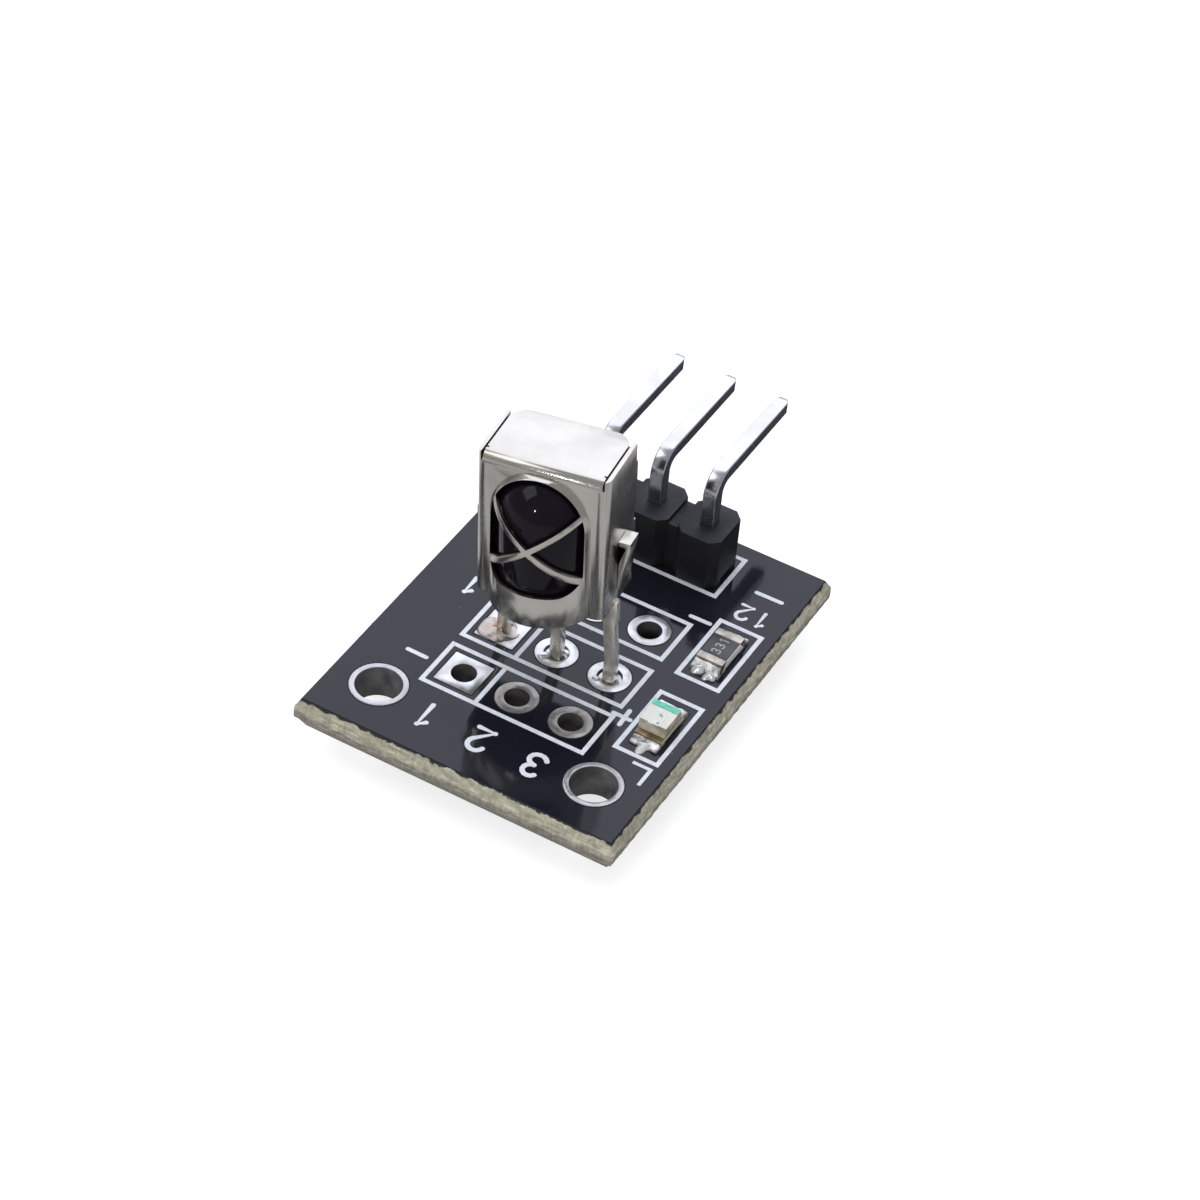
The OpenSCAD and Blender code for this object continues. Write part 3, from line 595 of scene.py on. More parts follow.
def link_object(made):
    bpy.context.scene.collection.objects.link(made)
    return made


def finish_piece(made, slot, *replaced):
    """Every piece rides on the board's body, and the CAD nodes that it replaces are hidden. The slot is not
    used.
    """
    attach(made, ROOT)
    if replaced:
        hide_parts(*replaced)
    return made


def give_material(made, material):
    made.data.materials.clear()
    made.data.materials.append(material)


def plain_mesh(made, name):
    """The evaluated mesh of an object as a new plain object; the old one goes."""
    bpy.context.view_layer.update()
    view = bpy.context.evaluated_depsgraph_get()
    final = made.evaluated_get(view)
    mesh = bpy.data.meshes.new_from_object(final, preserve_all_data_layers=True, depsgraph=view)
    fresh = link_object(bpy.data.objects.new(name, mesh))
    mesh.name = name
    bpy.data.objects.remove(made)
    return fresh


def softened(node_name, piece_name, width, material, slot, segments=2, angle=30):
    """A copy of a CAD node with its edges rounded a little, which stands for the node."""
    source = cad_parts[node_name]
    mesh = source.data.copy()
    work = bmesh.new()
    work.from_mesh(mesh)
    bmesh.ops.remove_doubles(work, verts=work.verts, dist=SAME_POINT)
    bmesh.ops.dissolve_limit(
        work, angle_limit=SAME_PLANE, verts=work.verts, edges=work.edges, delimit={"NORMAL"}
    )
    for face in work.faces:
        face.smooth = True
    work.to_mesh(mesh)
    work.free()
    draft = link_object(bpy.data.objects.new(piece_name + ".draft", mesh))
    bevel = draft.modifiers.new("Rounded edges", "BEVEL")
    bevel.width = width
    bevel.segments = segments
    bevel.limit_method = "ANGLE"
    bevel.angle_limit = math.radians(angle)
    bevel.use_clamp_overlap = True
    bevel.harden_normals = True
    made = plain_mesh(draft, piece_name)
    give_material(made, material)
    return finish_piece(made, slot, node_name)


def give_walls(made, material):
    """A second material on the upright faces of a piece; on the pads and mounting holes it is a darker plating,
    painted shade in the holes.
    """
    made.data.materials.append(material)
    for face in made.data.polygons:
        if abs(face.normal.z) < 0.5:
            face.material_index = 1


def soften_points(work, turns, factor):
    """Moves every point towards its neighbours, several times."""
    for turn in range(turns):
        bmesh.ops.smooth_vert(
            work, verts=work.verts, factor=factor, use_axis_x=True, use_axis_y=True, use_axis_z=True
        )


def lumpy(node_name, piece_name, grain, amount, scale, seed, material, slot):
    """An uneven copy of a CAD node, as molten solder leaves it, which stands for the node."""
    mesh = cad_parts[node_name].data.copy()
    mesh.transform(Matrix.Scale(1 / MM, 4))
    draft = link_object(bpy.data.objects.new(piece_name + ".draft", mesh))
    remesh = draft.modifiers.new("Even mesh", "REMESH")
    remesh.mode = "VOXEL"
    remesh.voxel_size = grain
    remesh.use_smooth_shade = True
    made = plain_mesh(draft, piece_name)
    work = bmesh.new()
    work.from_mesh(made.data)
    soften_points(work, 3, 0.5)
    work.normal_update()
    for vert in work.verts:
        place = vert.co * scale + Vector((seed, 0.37 * seed, -seed))
        vert.co += vert.normal * amount * noise.fractal(place, 1.4, 2.0, 2)
    soften_points(work, 2, 0.4)
    work.to_mesh(made.data)
    work.free()
    made.data.transform(Matrix.Scale(MM, 4))
    for face in made.data.polygons:
        face.use_smooth = True
    give_material(made, material)
    return finish_piece(made, slot, node_name)


def mound(piece_name, centre, radius, height, level, material, slot, rings=14, spokes=40):
    """A low solder mound: height(x, y) in millimetres over a wavy disc on a level plane."""
    work = bmesh.new()
    top = [work.verts.new((centre[0] * MM, centre[1] * MM, level + height(*centre) * MM))]
    rows = []
    for r in range(1, rings + 1):
        row = []
        for k in range(spokes):
            a = 2 * math.pi * k / spokes
            reach = radius(a) * r / rings
            x, y = centre[0] + reach * math.cos(a), centre[1] + reach * math.sin(a)
            fall = math.sqrt(max(0.0, 1 - (r / rings) ** 2))
            row.append(work.verts.new((x * MM, y * MM, level + height(x, y) * fall * MM)))
        rows.append(row)
    for k in range(spokes):
        work.faces.new((top[0], rows[0][k], rows[0][(k + 1) % spokes]))
        for r in range(rings - 1):
            inner, outer = rows[r], rows[r + 1]
            work.faces.new((inner[k], outer[k], outer[(k + 1) % spokes], inner[(k + 1) % spokes]))
    work.faces.new(list(reversed(rows[-1])))
    bmesh.ops.recalc_face_normals(work, faces=work.faces)
    mesh = bpy.data.meshes.new(piece_name)
    work.to_mesh(mesh)
    work.free()
    for face in mesh.polygons:
        face.use_smooth = len(face.vertices) < 5
    made = link_object(bpy.data.objects.new(piece_name, mesh))
    give_material(made, material)
    return finish_piece(made, slot)


def paint(node_name, material):
    """A better material for a CAD node that keeps its own mesh."""
    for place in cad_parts[node_name].material_slots:
        place.material = material


def geometry_group(name, numbers, material):
    """An empty Geometry Nodes group with number inputs and one material input, and its two end nodes."""
    tree = bpy.data.node_groups.new(name, "GeometryNodeTree")
    face = tree.interface
    face.new_socket("Geometry", in_out="INPUT", socket_type="NodeSocketGeometry")
    for label, default in numbers:
        socket = face.new_socket(label, in_out="INPUT", socket_type="NodeSocketFloat")
        socket.default_value = default
    face.new_socket(material, in_out="INPUT", socket_type="NodeSocketMaterial")
    face.new_socket("Geometry", in_out="OUTPUT", socket_type="NodeSocketGeometry")
    return tree, tree.nodes.new("NodeGroupInput"), tree.nodes.new("NodeGroupOutput")


def end_group(tree, geometry, material, end):
    """Ends a Geometry Nodes group in Realize Instances and Set Material."""
    last = node(tree, "GeometryNodeRealizeInstances")
    paint_it = node(tree, "GeometryNodeSetMaterial")
    tree.links.new(geometry, last.inputs["Geometry"])
    tree.links.new(last.outputs["Geometry"], paint_it.inputs["Geometry"])
    tree.links.new(material, paint_it.inputs["Material"])
    tree.links.new(paint_it.outputs["Geometry"], end.inputs["Geometry"])
    return tree


def ink_strokes_tree():
    """Geometry Nodes: flat printed strokes with round ends along the edges of a mesh drawn in millimetres."""
    name = "Ink strokes"
    if name in bpy.data.node_groups:
        return bpy.data.node_groups[name]
    numbers = (("Width", 0.2), ("Thickness", 0.02), ("Height", 1.6))
    tree, start, end = geometry_group(name, numbers, "Ink")
    link = tree.links.new
    to_curve = node(tree, "GeometryNodeMeshToCurve")
    upright = node(tree, "GeometryNodeSetCurveNormal", mode="Z_UP")
    profile = node(tree, "GeometryNodeCurvePrimitiveQuadrilateral")
    sweep = node(tree, "GeometryNodeCurveToMesh", {"Fill Caps": True})
    radius = node(tree, "ShaderNodeMath", {1: 0.5}, operation="MULTIPLY")
    disc = node(tree, "GeometryNodeMeshCylinder", {"Vertices": 20})
    dots = node(tree, "GeometryNodeInstanceOnPoints")
    realize = node(tree, "GeometryNodeRealizeInstances")
    union = node(
        tree, "GeometryNodeMeshBoolean", {"Self Intersection": True}, operation="UNION", solver="EXACT"
    )
    join = node(tree, "GeometryNodeJoinGeometry")
    half = node(tree, "ShaderNodeMath", {1: 0.5}, operation="MULTIPLY")
    lift = node(tree, "ShaderNodeMath", operation="ADD")
    offset = node(tree, "ShaderNodeCombineXYZ")
    raise_it = node(tree, "GeometryNodeTransform")
    scale = node(tree, "GeometryNodeTransform", {"Scale": (MM, MM, MM)})
    link(start.outputs["Geometry"], to_curve.inputs["Mesh"])
    link(to_curve.outputs["Curve"], upright.inputs["Curve"])
    link(upright.outputs["Curve"], sweep.inputs["Curve"])
    link(start.outputs["Width"], profile.inputs["Width"])
    link(start.outputs["Thickness"], profile.inputs["Height"])
    link(profile.outputs["Curve"], sweep.inputs["Profile Curve"])
    link(start.outputs["Width"], radius.inputs[0])
    link(radius.outputs[0], disc.inputs["Radius"])
    link(start.outputs["Thickness"], disc.inputs["Depth"])
    link(start.outputs["Geometry"], dots.inputs["Points"])
    link(disc.outputs["Mesh"], dots.inputs["Instance"])
    link(dots.outputs["Instances"], realize.inputs["Geometry"])
    link(sweep.outputs["Mesh"], join.inputs["Geometry"])
    link(realize.outputs["Geometry"], join.inputs["Geometry"])
    link(join.outputs["Geometry"], union.inputs["Mesh 2"])
    link(start.outputs["Thickness"], half.inputs[0])
    link(half.outputs[0], lift.inputs[0])
    link(start.outputs["Height"], lift.inputs[1])
    link(lift.outputs[0], offset.inputs["Z"])
    link(union.outputs["Mesh"], raise_it.inputs["Geometry"])
    link(offset.outputs["Vector"], raise_it.inputs["Translation"])
    link(raise_it.outputs["Geometry"], scale.inputs["Geometry"])
    return end_group(tree, scale.outputs["Geometry"], start.outputs["Ink"], end)


def broken_fibres_tree():
    """Geometry Nodes: thin fibres at seeded random places of a surface, leaning off its normal."""
    name = "Broken fibres"
    if name in bpy.data.node_groups:
        return bpy.data.node_groups[name]
    numbers = (("Density", 1e6), ("Length", 0.05 * MM))
    tree, start, end = geometry_group(name, numbers, "Glass")
    link = tree.links.new
    spread = node(tree, "GeometryNodeDistributePointsOnFaces", {"Seed": 5})
    cone = {"Vertices": 5, "Radius Top": 0.04, "Radius Bottom": 0.07, "Depth": 1.6}
    stick = node(tree, "GeometryNodeMeshCone", cone)
    angles = {0: (-0.9, -0.9, -3.0), 1: (0.9, 0.9, 3.0)}
    lean = node(tree, "FunctionNodeRandomValue", angles, data_type="FLOAT_VECTOR")
    turn = node(tree, "FunctionNodeRotateRotation", rotation_space="LOCAL")
    size = node(tree, "FunctionNodeRandomValue", {2: 0.4, 3: 1.0}, data_type="FLOAT")
    long = node(tree, "ShaderNodeMath", operation="MULTIPLY")
    plant = node(tree, "GeometryNodeInstanceOnPoints")
    link(start.outputs["Geometry"], spread.inputs["Mesh"])
    link(start.outputs["Density"], spread.inputs["Density"])
    link(spread.outputs["Points"], plant.inputs["Points"])
    link(stick.outputs["Mesh"], plant.inputs["Instance"])
    link(spread.outputs["Rotation"], turn.inputs["Rotation"])
    link(lean.outputs[0], turn.inputs["Rotate By"])
    link(turn.outputs["Rotation"], plant.inputs["Rotation"])
    link(start.outputs["Length"], long.inputs[0])
    link(size.outputs[1], long.inputs[1])
    link(long.outputs[0], plant.inputs["Scale"])
    return end_group(tree, plant.outputs["Instances"], start.outputs["Glass"], end)


def bent_wire_tree():
    """Geometry Nodes: a square wire with rounded edges, bent at the corners of a path in millimetres."""
    name = "Bent wire"
    if name in bpy.data.node_groups:
        return bpy.data.node_groups[name]
    numbers = (("Side", 0.64), ("Rounding", 0.06), ("Bend", 0.8))
    tree, start, end = geometry_group(name, numbers, "Finish")
    link = tree.links.new
    to_curve = node(tree, "GeometryNodeMeshToCurve")
    bends = node(tree, "GeometryNodeFilletCurve", {"Count": 20, "Limit Radius": True}, mode="POLY")
    section = node(tree, "GeometryNodeCurvePrimitiveQuadrilateral")
    rounded = node(tree, "GeometryNodeFilletCurve", {"Count": 3, "Limit Radius": True}, mode="POLY")
    taper = node(tree, "GeometryNodeInputNamedAttribute", {"Name": "taper"}, data_type="FLOAT")
    sweep = node(tree, "GeometryNodeCurveToMesh", {"Fill Caps": True})
    smooth = node(tree, "GeometryNodeSetShadeSmooth")
    scale = node(tree, "GeometryNodeTransform", {"Scale": (MM, MM, MM)})
    link(start.outputs["Geometry"], to_curve.inputs["Mesh"])
    link(to_curve.outputs["Curve"], bends.inputs["Curve"])
    link(start.outputs["Bend"], bends.inputs["Radius"])
    link(bends.outputs["Curve"], sweep.inputs["Curve"])
    link(start.outputs["Side"], section.inputs["Width"])
    link(start.outputs["Side"], section.inputs["Height"])
    link(section.outputs["Curve"], rounded.inputs["Curve"])
    link(start.outputs["Rounding"], rounded.inputs["Radius"])
    link(rounded.outputs["Curve"], sweep.inputs["Profile Curve"])
    link(taper.outputs["Attribute"], sweep.inputs["Scale"])
    link(sweep.outputs["Mesh"], smooth.inputs["Geometry"])
    link(smooth.outputs["Geometry"], scale.inputs["Geometry"])
    return end_group(tree, scale.outputs["Geometry"], start.outputs["Finish"], end)


def baked(draft, tree, inputs, name):
    """Runs a Geometry Nodes group on a draft and keeps the result as a plain object."""
    modifier = draft.modifiers.new(tree.name, "NODES")
    modifier.node_group = tree
    for label, value in inputs.items():
        set_input(modifier, label, value)
    return plain_mesh(draft, name)


def swept_wire(name, path, side, rounding, bend, tip, material):
    """A bent square wire along a path in millimetres, with narrower tips."""
    mesh = bpy.data.meshes.new(name + ".path")
    mesh.from_pydata(path, [(k, k + 1) for k in range(len(path) - 1)], [])
    taper = mesh.attributes.new("taper", "FLOAT", "POINT")
    for k in range(len(path)):
        taper.data[k].value = tip if k in (0, len(path) - 1) else 1.0
    draft = link_object(bpy.data.objects.new(name + ".draft", mesh))
    inputs = {"Side": side, "Rounding": rounding, "Bend": bend, "Finish": material}
    solid = baked(draft, bent_wire_tree(), inputs, name + ".solid")
    work = bmesh.new()
    work.from_mesh(solid.data)
    bmesh.ops.recalc_face_normals(work, faces=work.faces)
    work.to_mesh(solid.data)
    work.free()
    even = solid.modifiers.new("Flat sides", "WEIGHTED_NORMAL")
    even.keep_sharp = True
    made = plain_mesh(solid, name)
    give_material(made, material)
    return made


def set_input(modifier, label, value):
    """Sets a modifier's input by its socket's identifier."""
    for item in modifier.node_group.interface.items_tree:
        if item.item_type == "SOCKET" and item.in_out == "INPUT" and item.name == label:
            modifier[item.identifier] = value
            return
    raise RuntimeError("no input named " + label)


def arc(cx, cy, r, start, stop, steps=8, ry=None):
    """Points of an arc, in degrees."""
    high = r if ry is None else ry
    angles = [math.radians(start + (stop - start) * k / steps) for k in range(steps + 1)]
    return [(cx + r * math.cos(a), cy + high * math.sin(a)) for a in angles]


# Strokes of plain digits and signs in a cell 0.6 wide and 1 high, origin at its lower left
GLYPHS = {
    "1": [[(0.12, 0.8), (0.34, 1.0), (0.34, 0.0)]],
    "2": [arc(0.3, 0.72, 0.28, 165, -35, 10) + [(0.02, 0.0), (0.6, 0.0)]],
    "3": [arc(0.29, 0.75, 0.25, 150, -90, 9) + arc(0.29, 0.25, 0.29, 90, -155, 10, 0.25)],
    "-": [[(0.0, 0.5), (0.6, 0.5)]],
    "+": [[(0.0, 0.5), (0.7, 0.5)], [(0.35, 0.15), (0.35, 0.85)]],
}


def draw_glyphs(text, height, centre, turn, spacing=0.9):
    """Strokes of a text as lists of points in millimetres; turn is the direction of reading, in degrees."""
    width = spacing * (len(text) - 1) + 0.6
    a = math.radians(turn)
    strokes = []
    for index, sign in enumerate(text):
        for stroke in GLYPHS[sign]:
            points = []
            for x, y in stroke:
                u = (x + spacing * index - width / 2) * height
                v = (y - 0.5) * height
                points.append((
                    centre[0] + u * math.cos(a) - v * math.sin(a),
                    centre[1] + u * math.sin(a) + v * math.cos(a),
                ))
            strokes.append(points)
    return strokes


def ink_piece(name, strokes, width, thickness, level, material, slot):
    """One printed piece from strokes on a level plane."""
    mesh = bpy.data.meshes.new(name + ".lines")
    points, edges = [], []
    for stroke in strokes:
        first = len(points)
        points += [(x, y, 0.0) for x, y in stroke]
        edges += [(first + k, first + k + 1) for k in range(len(stroke) - 1)]
    mesh.from_pydata(points, edges, [])
    draft = link_object(bpy.data.objects.new(name + ".draft", mesh))
    inputs = {"Width": width / MM, "Thickness": thickness / MM, "Height": level / MM, "Ink": material}
    made = baked(draft, ink_strokes_tree(), inputs, name)
    give_material(made, material)
    return finish_piece(made, slot)


# Stage

# The camera, fitted to the photograph: its place in millimetres and two of its axes
CAMERA_PLACE = (51.455, -95.738, 110.355)
CAMERA_RIGHT = (0.8640, 0.4981, 0.0723)
CAMERA_BACK = (0.3225, -0.6583, 0.6802)
SENSOR_WIDTH = 36
FLOOR_HALF_SIDE = 4.0
# The point that the lamps face, in millimetres
LIT_POINT = (0, 7, 4)
# Dark cards: left, front, right and rear edge in millimetres
CARDS = ((-1, 6, 24, 30), (-30, -18, -9.5, 2))
CARD_LIFT = 0.1


class Softbox(NamedTuple):
    """A rectangular lamp: its direction and distance from the object, its size in metres, and who sees it"""

    direction: tuple
    distance: float
    size: tuple
    mirrored: bool = True
    colour: tuple = (1.0, 1.0, 1.0)


REAR_SOFTBOX = Softbox((-0.3225, 0.6583, 0.6802), 0.60, (0.95, 0.85), colour=(0.83, 0.87, 1.0))
OVERHEAD_SOFTBOX = Softbox((-0.15, -0.05, 1.0), 0.60, (0.45, 0.45), mirrored=False)
FRONT_FILL = Softbox((0.15, -0.80, 0.45), 0.55, (0.5, 0.3), mirrored=False)
SIDE_SOFTBOX = Softbox((-0.547, -0.387, 0.742), 0.55, (0.26, 0.26))
SMALL_LAMP = Softbox((-0.083, -0.884, 0.461), 0.50, (0.017, 0.017))


def rectangle(name, corners, material):
    """Level rectangles as one staged object; each has its left, front, right, rear and height in metres."""
    points, faces = [], []
    for left, front, right, rear, z in corners:
        first = len(points)
        points += [(left, front, z), (right, front, z), (right, rear, z), (left, rear, z)]
        faces.append(tuple(range(first, first + 4)))
    mesh = bpy.data.meshes.new(name)
    mesh.from_pydata(points, [], faces)
    made = link_object(bpy.data.objects.new(name, mesh))
    give_material(made, material)
    return made


# Operators


class MODULE_OT_stage(bpy.types.Operator):
    """Make the camera, the floor and the soft studio light"""

    bl_idname = "module.stage"
    bl_label = "Stage"

    def execute(self, context):
        settings = context.scene.module_stage
        self.camera(context, settings)
        half = FLOOR_HALF_SIDE
        rectangle("floor", [(-half, -half, half, half, FLOOR_Z)], self.floor_material(settings))
        self.room(context, settings)
        self.lamp("rear_softbox", REAR_SOFTBOX, settings.sweep)
        self.lamp("overhead_softbox", OVERHEAD_SOFTBOX, settings.overhead)
        self.lamp("front_fill", FRONT_FILL, settings.front)
        self.lamp("side_softbox", SIDE_SOFTBOX, settings.side)
        self.lamp("small_lamp", SMALL_LAMP, settings.small)
        self.cards()
        context.scene.view_settings.view_transform = "Standard"
        return {"FINISHED"}

    @staticmethod
    def camera(context, settings):
        """The camera that took the photograph"""
        camera = bpy.data.cameras.new("camera")
        camera.sensor_width = SENSOR_WIDTH
        camera.sensor_fit = "HORIZONTAL"
        camera.lens = settings.lens
        camera.clip_start, camera.clip_end = 0.01, 20
        eye = link_object(bpy.data.objects.new("camera", camera))
        right = Vector(CAMERA_RIGHT).normalized()
        back = Vector(CAMERA_BACK).normalized()
        up = back.cross(right).normalized()
        right = up.cross(back)
        turn = Matrix((right, up, back)).transposed()
        eye.matrix_world = Matrix.Translation(Vector(CAMERA_PLACE) * MM) @ turn.to_4x4()
        context.scene.camera = eye

    @staticmethod
    def cards():
        """Dark cards on the floor, which only reflections see: they shape the bright metal"""
        dark, tree, shader = new_material("card_dark")
        shader.inputs["Base Color"].default_value = (0.03, 0.03, 0.035, 1)
        shader.inputs["Roughness"].default_value = 1.0
        height = FLOOR_Z + CARD_LIFT * MM
        corners = [tuple(edge * MM for edge in card) + (height,) for card in CARDS]
        made = rectangle("dark_cards", corners, dark)
        made.visible_camera = made.visible_diffuse = made.visible_shadow = made.visible_transmission = False

    @staticmethod
    def floor_material(settings):
        """White floor that keeps the shadow, lifted for the camera and, by a share, for reflections."""
        made, tree, shader = new_material("floor_white")
        paths = node(tree, "ShaderNodeLightPath")
        seen = node(tree, "ShaderNodeMath", operation="MAXIMUM")
        glow = node(tree, "ShaderNodeMath", {1: settings.floor_glow}, operation="MULTIPLY")
        mirror = node(tree, "ShaderNodeMath", {1: settings.floor_mirror}, operation="MULTIPLY")
        either = node(tree, "ShaderNodeMath", operation="MAXIMUM")
        tree.links.new(paths.outputs["Is Camera Ray"], seen.inputs[0])
        tree.links.new(paths.outputs["Is Transmission Ray"], seen.inputs[1])
        tree.links.new(paths.outputs["Is Glossy Ray"], mirror.inputs[0])
        tree.links.new(seen.outputs[0], either.inputs[0])
        tree.links.new(mirror.outputs[0], either.inputs[1])
        tree.links.new(either.outputs[0], glow.inputs[0])
        tree.links.new(glow.outputs[0], shader.inputs["Emission Strength"])
        shader.inputs["Emission Color"].default_value = (1, 1, 1, 1)
        shader.inputs["Base Color"].default_value = (0.40, 0.40, 0.40, 1)
        shader.inputs["Roughness"].default_value = 1.0
        shader.inputs["Specular IOR Level"].default_value = 0.0
        return made

    @staticmethod
    def room(context, settings):
        """Dim room light; the camera and clear materials see plain white."""
        world = bpy.data.worlds.new("studio")
        world.use_nodes = True
        tree = world.node_tree
        tree.nodes.clear()
        dim = node(tree, "ShaderNodeBackground", {"Color": (0.97, 0.98, 1.0, 1), "Strength": settings.room})
        white = node(tree, "ShaderNodeBackground", {"Color": (1, 1, 1, 1), "Strength": 1.0})
        paths = node(tree, "ShaderNodeLightPath")
        seen = node(tree, "ShaderNodeMath", operation="MAXIMUM")
        mix = node(tree, "ShaderNodeMixShader")
        out = node(tree, "ShaderNodeOutputWorld")
        tree.links.new(paths.outputs["Is Camera Ray"], seen.inputs[0])
        tree.links.new(paths.outputs["Is Transmission Ray"], seen.inputs[1])
        tree.links.new(seen.outputs[0], mix.inputs["Fac"])
        tree.links.new(dim.outputs[0], mix.inputs[1])
        tree.links.new(white.outputs[0], mix.inputs[2])
        tree.links.new(mix.outputs[0], out.inputs["Surface"])
        context.scene.world = world

    @staticmethod
    def lamp(name, box, radiance):
        """A rectangular softbox of an even radiance, which the camera doesn't see."""
        light = bpy.data.lights.new(name, "AREA")
        light.shape = "RECTANGLE"
        light.size, light.size_y = box.size
        light.energy = radiance * math.pi * box.size[0] * box.size[1]
        light.color = box.colour
        made = link_object(bpy.data.objects.new(name, light))
        away = Vector(box.direction).normalized()
        made.location = Vector(LIT_POINT) * MM + away * box.distance
        made.rotation_mode = "QUATERNION"
        made.rotation_quaternion = away.to_track_quat("Z", "Y")
        made.visible_camera = False
        made.visible_glossy = box.mirrored


class MODULE_OT_board(bpy.types.Operator):
    """Finish the laminate, the lacquer and the bare metal of the board"""

    bl_idname = "module.board"
    bl_label = "Board"

    def execute(self, context):
        finish = context.scene.module_finish
        mask = mask_material("lacquer", finish.mask)
        softened("circuit_board", "laminate_core", 0.02 * MM, laminate_material(finish), "laminate")
        paint("solder_mask_top", mask)
        paint("solder_mask_bottom", mask)
        for row in ("front", "receiver", "rear", "header"):
            slot = "pad_dull" if row == "front" else "pad_bright"
            for index in PLACES:
                name = f"{row}_pad_{index}"
                # Front pads 2 and 3 take the darker tin: painted reflection of the receiver
                shows_receiver_reflection = row == "front" and index > 1
                tinned = varied("dull_pad" if shows_receiver_reflection else "bright_pad")
                pad = softened(name, name + "_tinned", 0.02 * MM, tinned, slot)
                # The upright walls take the darker plating: painted shade in the bore
                give_walls(pad, varied("pad_bore"))
        for side in ("left", "right"):
            node_name, piece_name = f"hole_plating_{side}", f"mounting_hole_{side}"
            ring = softened(node_name, piece_name, 0.02 * MM, varied("ring_plating"), "hole_plating")
            # The hole's wall takes the darker plating: painted shade inside the hole
            give_walls(ring, varied("hole_wall"))
        return {"FINISHED"}


# The rough web, in metres: its lowest and highest line, the step along it, how far it stands out and sinks
# in at its borders, and how far the closed band reaches into the laminate
WEB_LOW, WEB_HIGH = 0.55 * MM, 1.22 * MM
WEB_ROWS = 9
WEB_STEP = 0.09 * MM
WEB_STANDS_OUT, WEB_SINKS_IN = 0.01 * MM, 0.02 * MM
WEB_INWARD = 0.1 * MM


class MODULE_OT_snapped_edge(bpy.types.Operator):
    """Roughen the web where the board was snapped off its panel, with broken glass fibres"""

    bl_idname = "module.snapped_edge"
    bl_label = "Snapped Edge"

    def execute(self, context):
        settings = context.scene.module_edge
        mesh = self.web_mesh(self.outline(), settings.roughness)
        web_and_shade = link_object(bpy.data.objects.new("snapped_web", mesh))
        give_material(web_and_shade, laminate_material(context.scene.module_finish))
        finish_piece(web_and_shade, "laminate")
        self.broken_fibres(mesh, settings)
        return {"FINISHED"}

    @staticmethod
    def outline():
        """Points round the board in even steps, each with the direction that faces away from the board"""
        left, front, right, rear = BOARD_LOW.x, BOARD_LOW.y, BOARD_HIGH.x, BOARD_HIGH.y
        corners = [Vector(place) for place in ((left, front), (right, front), (right, rear), (left, rear))]
        ring = []
        for a, b in zip(corners, corners[1:] + corners[:1]):
            along = b - a
            count = max(2, int(along.length / WEB_STEP))
            out = Vector((along.y, -along.x)).normalized()
            ring += [(a + along * (j / count), out) for j in range(count)]
        return ring

    @staticmethod
    def web_mesh(ring, roughness):
        """A closed band round the board, rough on the outside"""
        work = bmesh.new()
        columns = []
        for point, out in ring:
            column = []
            for r in range(WEB_ROWS):
                share = r / (WEB_ROWS - 1)
                z = WEB_LOW + (WEB_HIGH - WEB_LOW) * share
                fade = math.sin(math.pi * share) ** 0.5 if 0 < share < 1 else 0.0
                seed = Vector((point.x / MM * 3.1, point.y / MM * 3.1, z / MM * 5.0))
                rough = noise.fractal(seed, 0.9, 2.2, 4) * 0.5 + 0.5
                push = (WEB_STANDS_OUT + roughness * rough * 1.6) * fade - WEB_SINKS_IN * (1 - fade)
                column.append(work.verts.new((point.x + out.x * push, point.y + out.y * push, z)))
            columns.append(column)
        for k, here in enumerate(columns):
            there = columns[(k + 1) % len(columns)]
            for r in range(WEB_ROWS - 1):
                work.faces.new((here[r], there[r], there[r + 1], here[r + 1]))
        inner = []
        for point, out in ring:
            x, y = point.x - out.x * WEB_INWARD, point.y - out.y * WEB_INWARD
            inner.append((work.verts.new((x, y, WEB_LOW)), work.verts.new((x, y, WEB_HIGH))))
        for k, (low, high) in enumerate(inner):
            j = (k + 1) % len(inner)
            next_low, next_high = inner[j]
            work.faces.new((columns[k][0], low, next_low, columns[j][0]))
            work.faces.new((columns[k][-1], columns[j][-1], next_high, high))
            work.faces.new((low, high, next_high, next_low))
        bmesh.ops.recalc_face_normals(work, faces=work.faces)
        mesh = bpy.data.meshes.new("snapped_web")
        work.to_mesh(mesh)
        work.free()
        return mesh

    @staticmethod
    def broken_fibres(mesh, settings):
        """Short glass fibres that stand out of the rough web"""
        glass = varied("glass_fibre")
        draft = link_object(bpy.data.objects.new("broken_fibres.draft", mesh.copy()))
        density = 4 * settings.fibres / sum(face.area for face in mesh.polygons)
        inputs = {"Density": density, "Length": settings.fibre_length, "Glass": glass}
        fibres = baked(draft, broken_fibres_tree(), inputs, "broken_fibres")
        give_material(fibres, glass)
        finish_piece(fibres, "laminate")


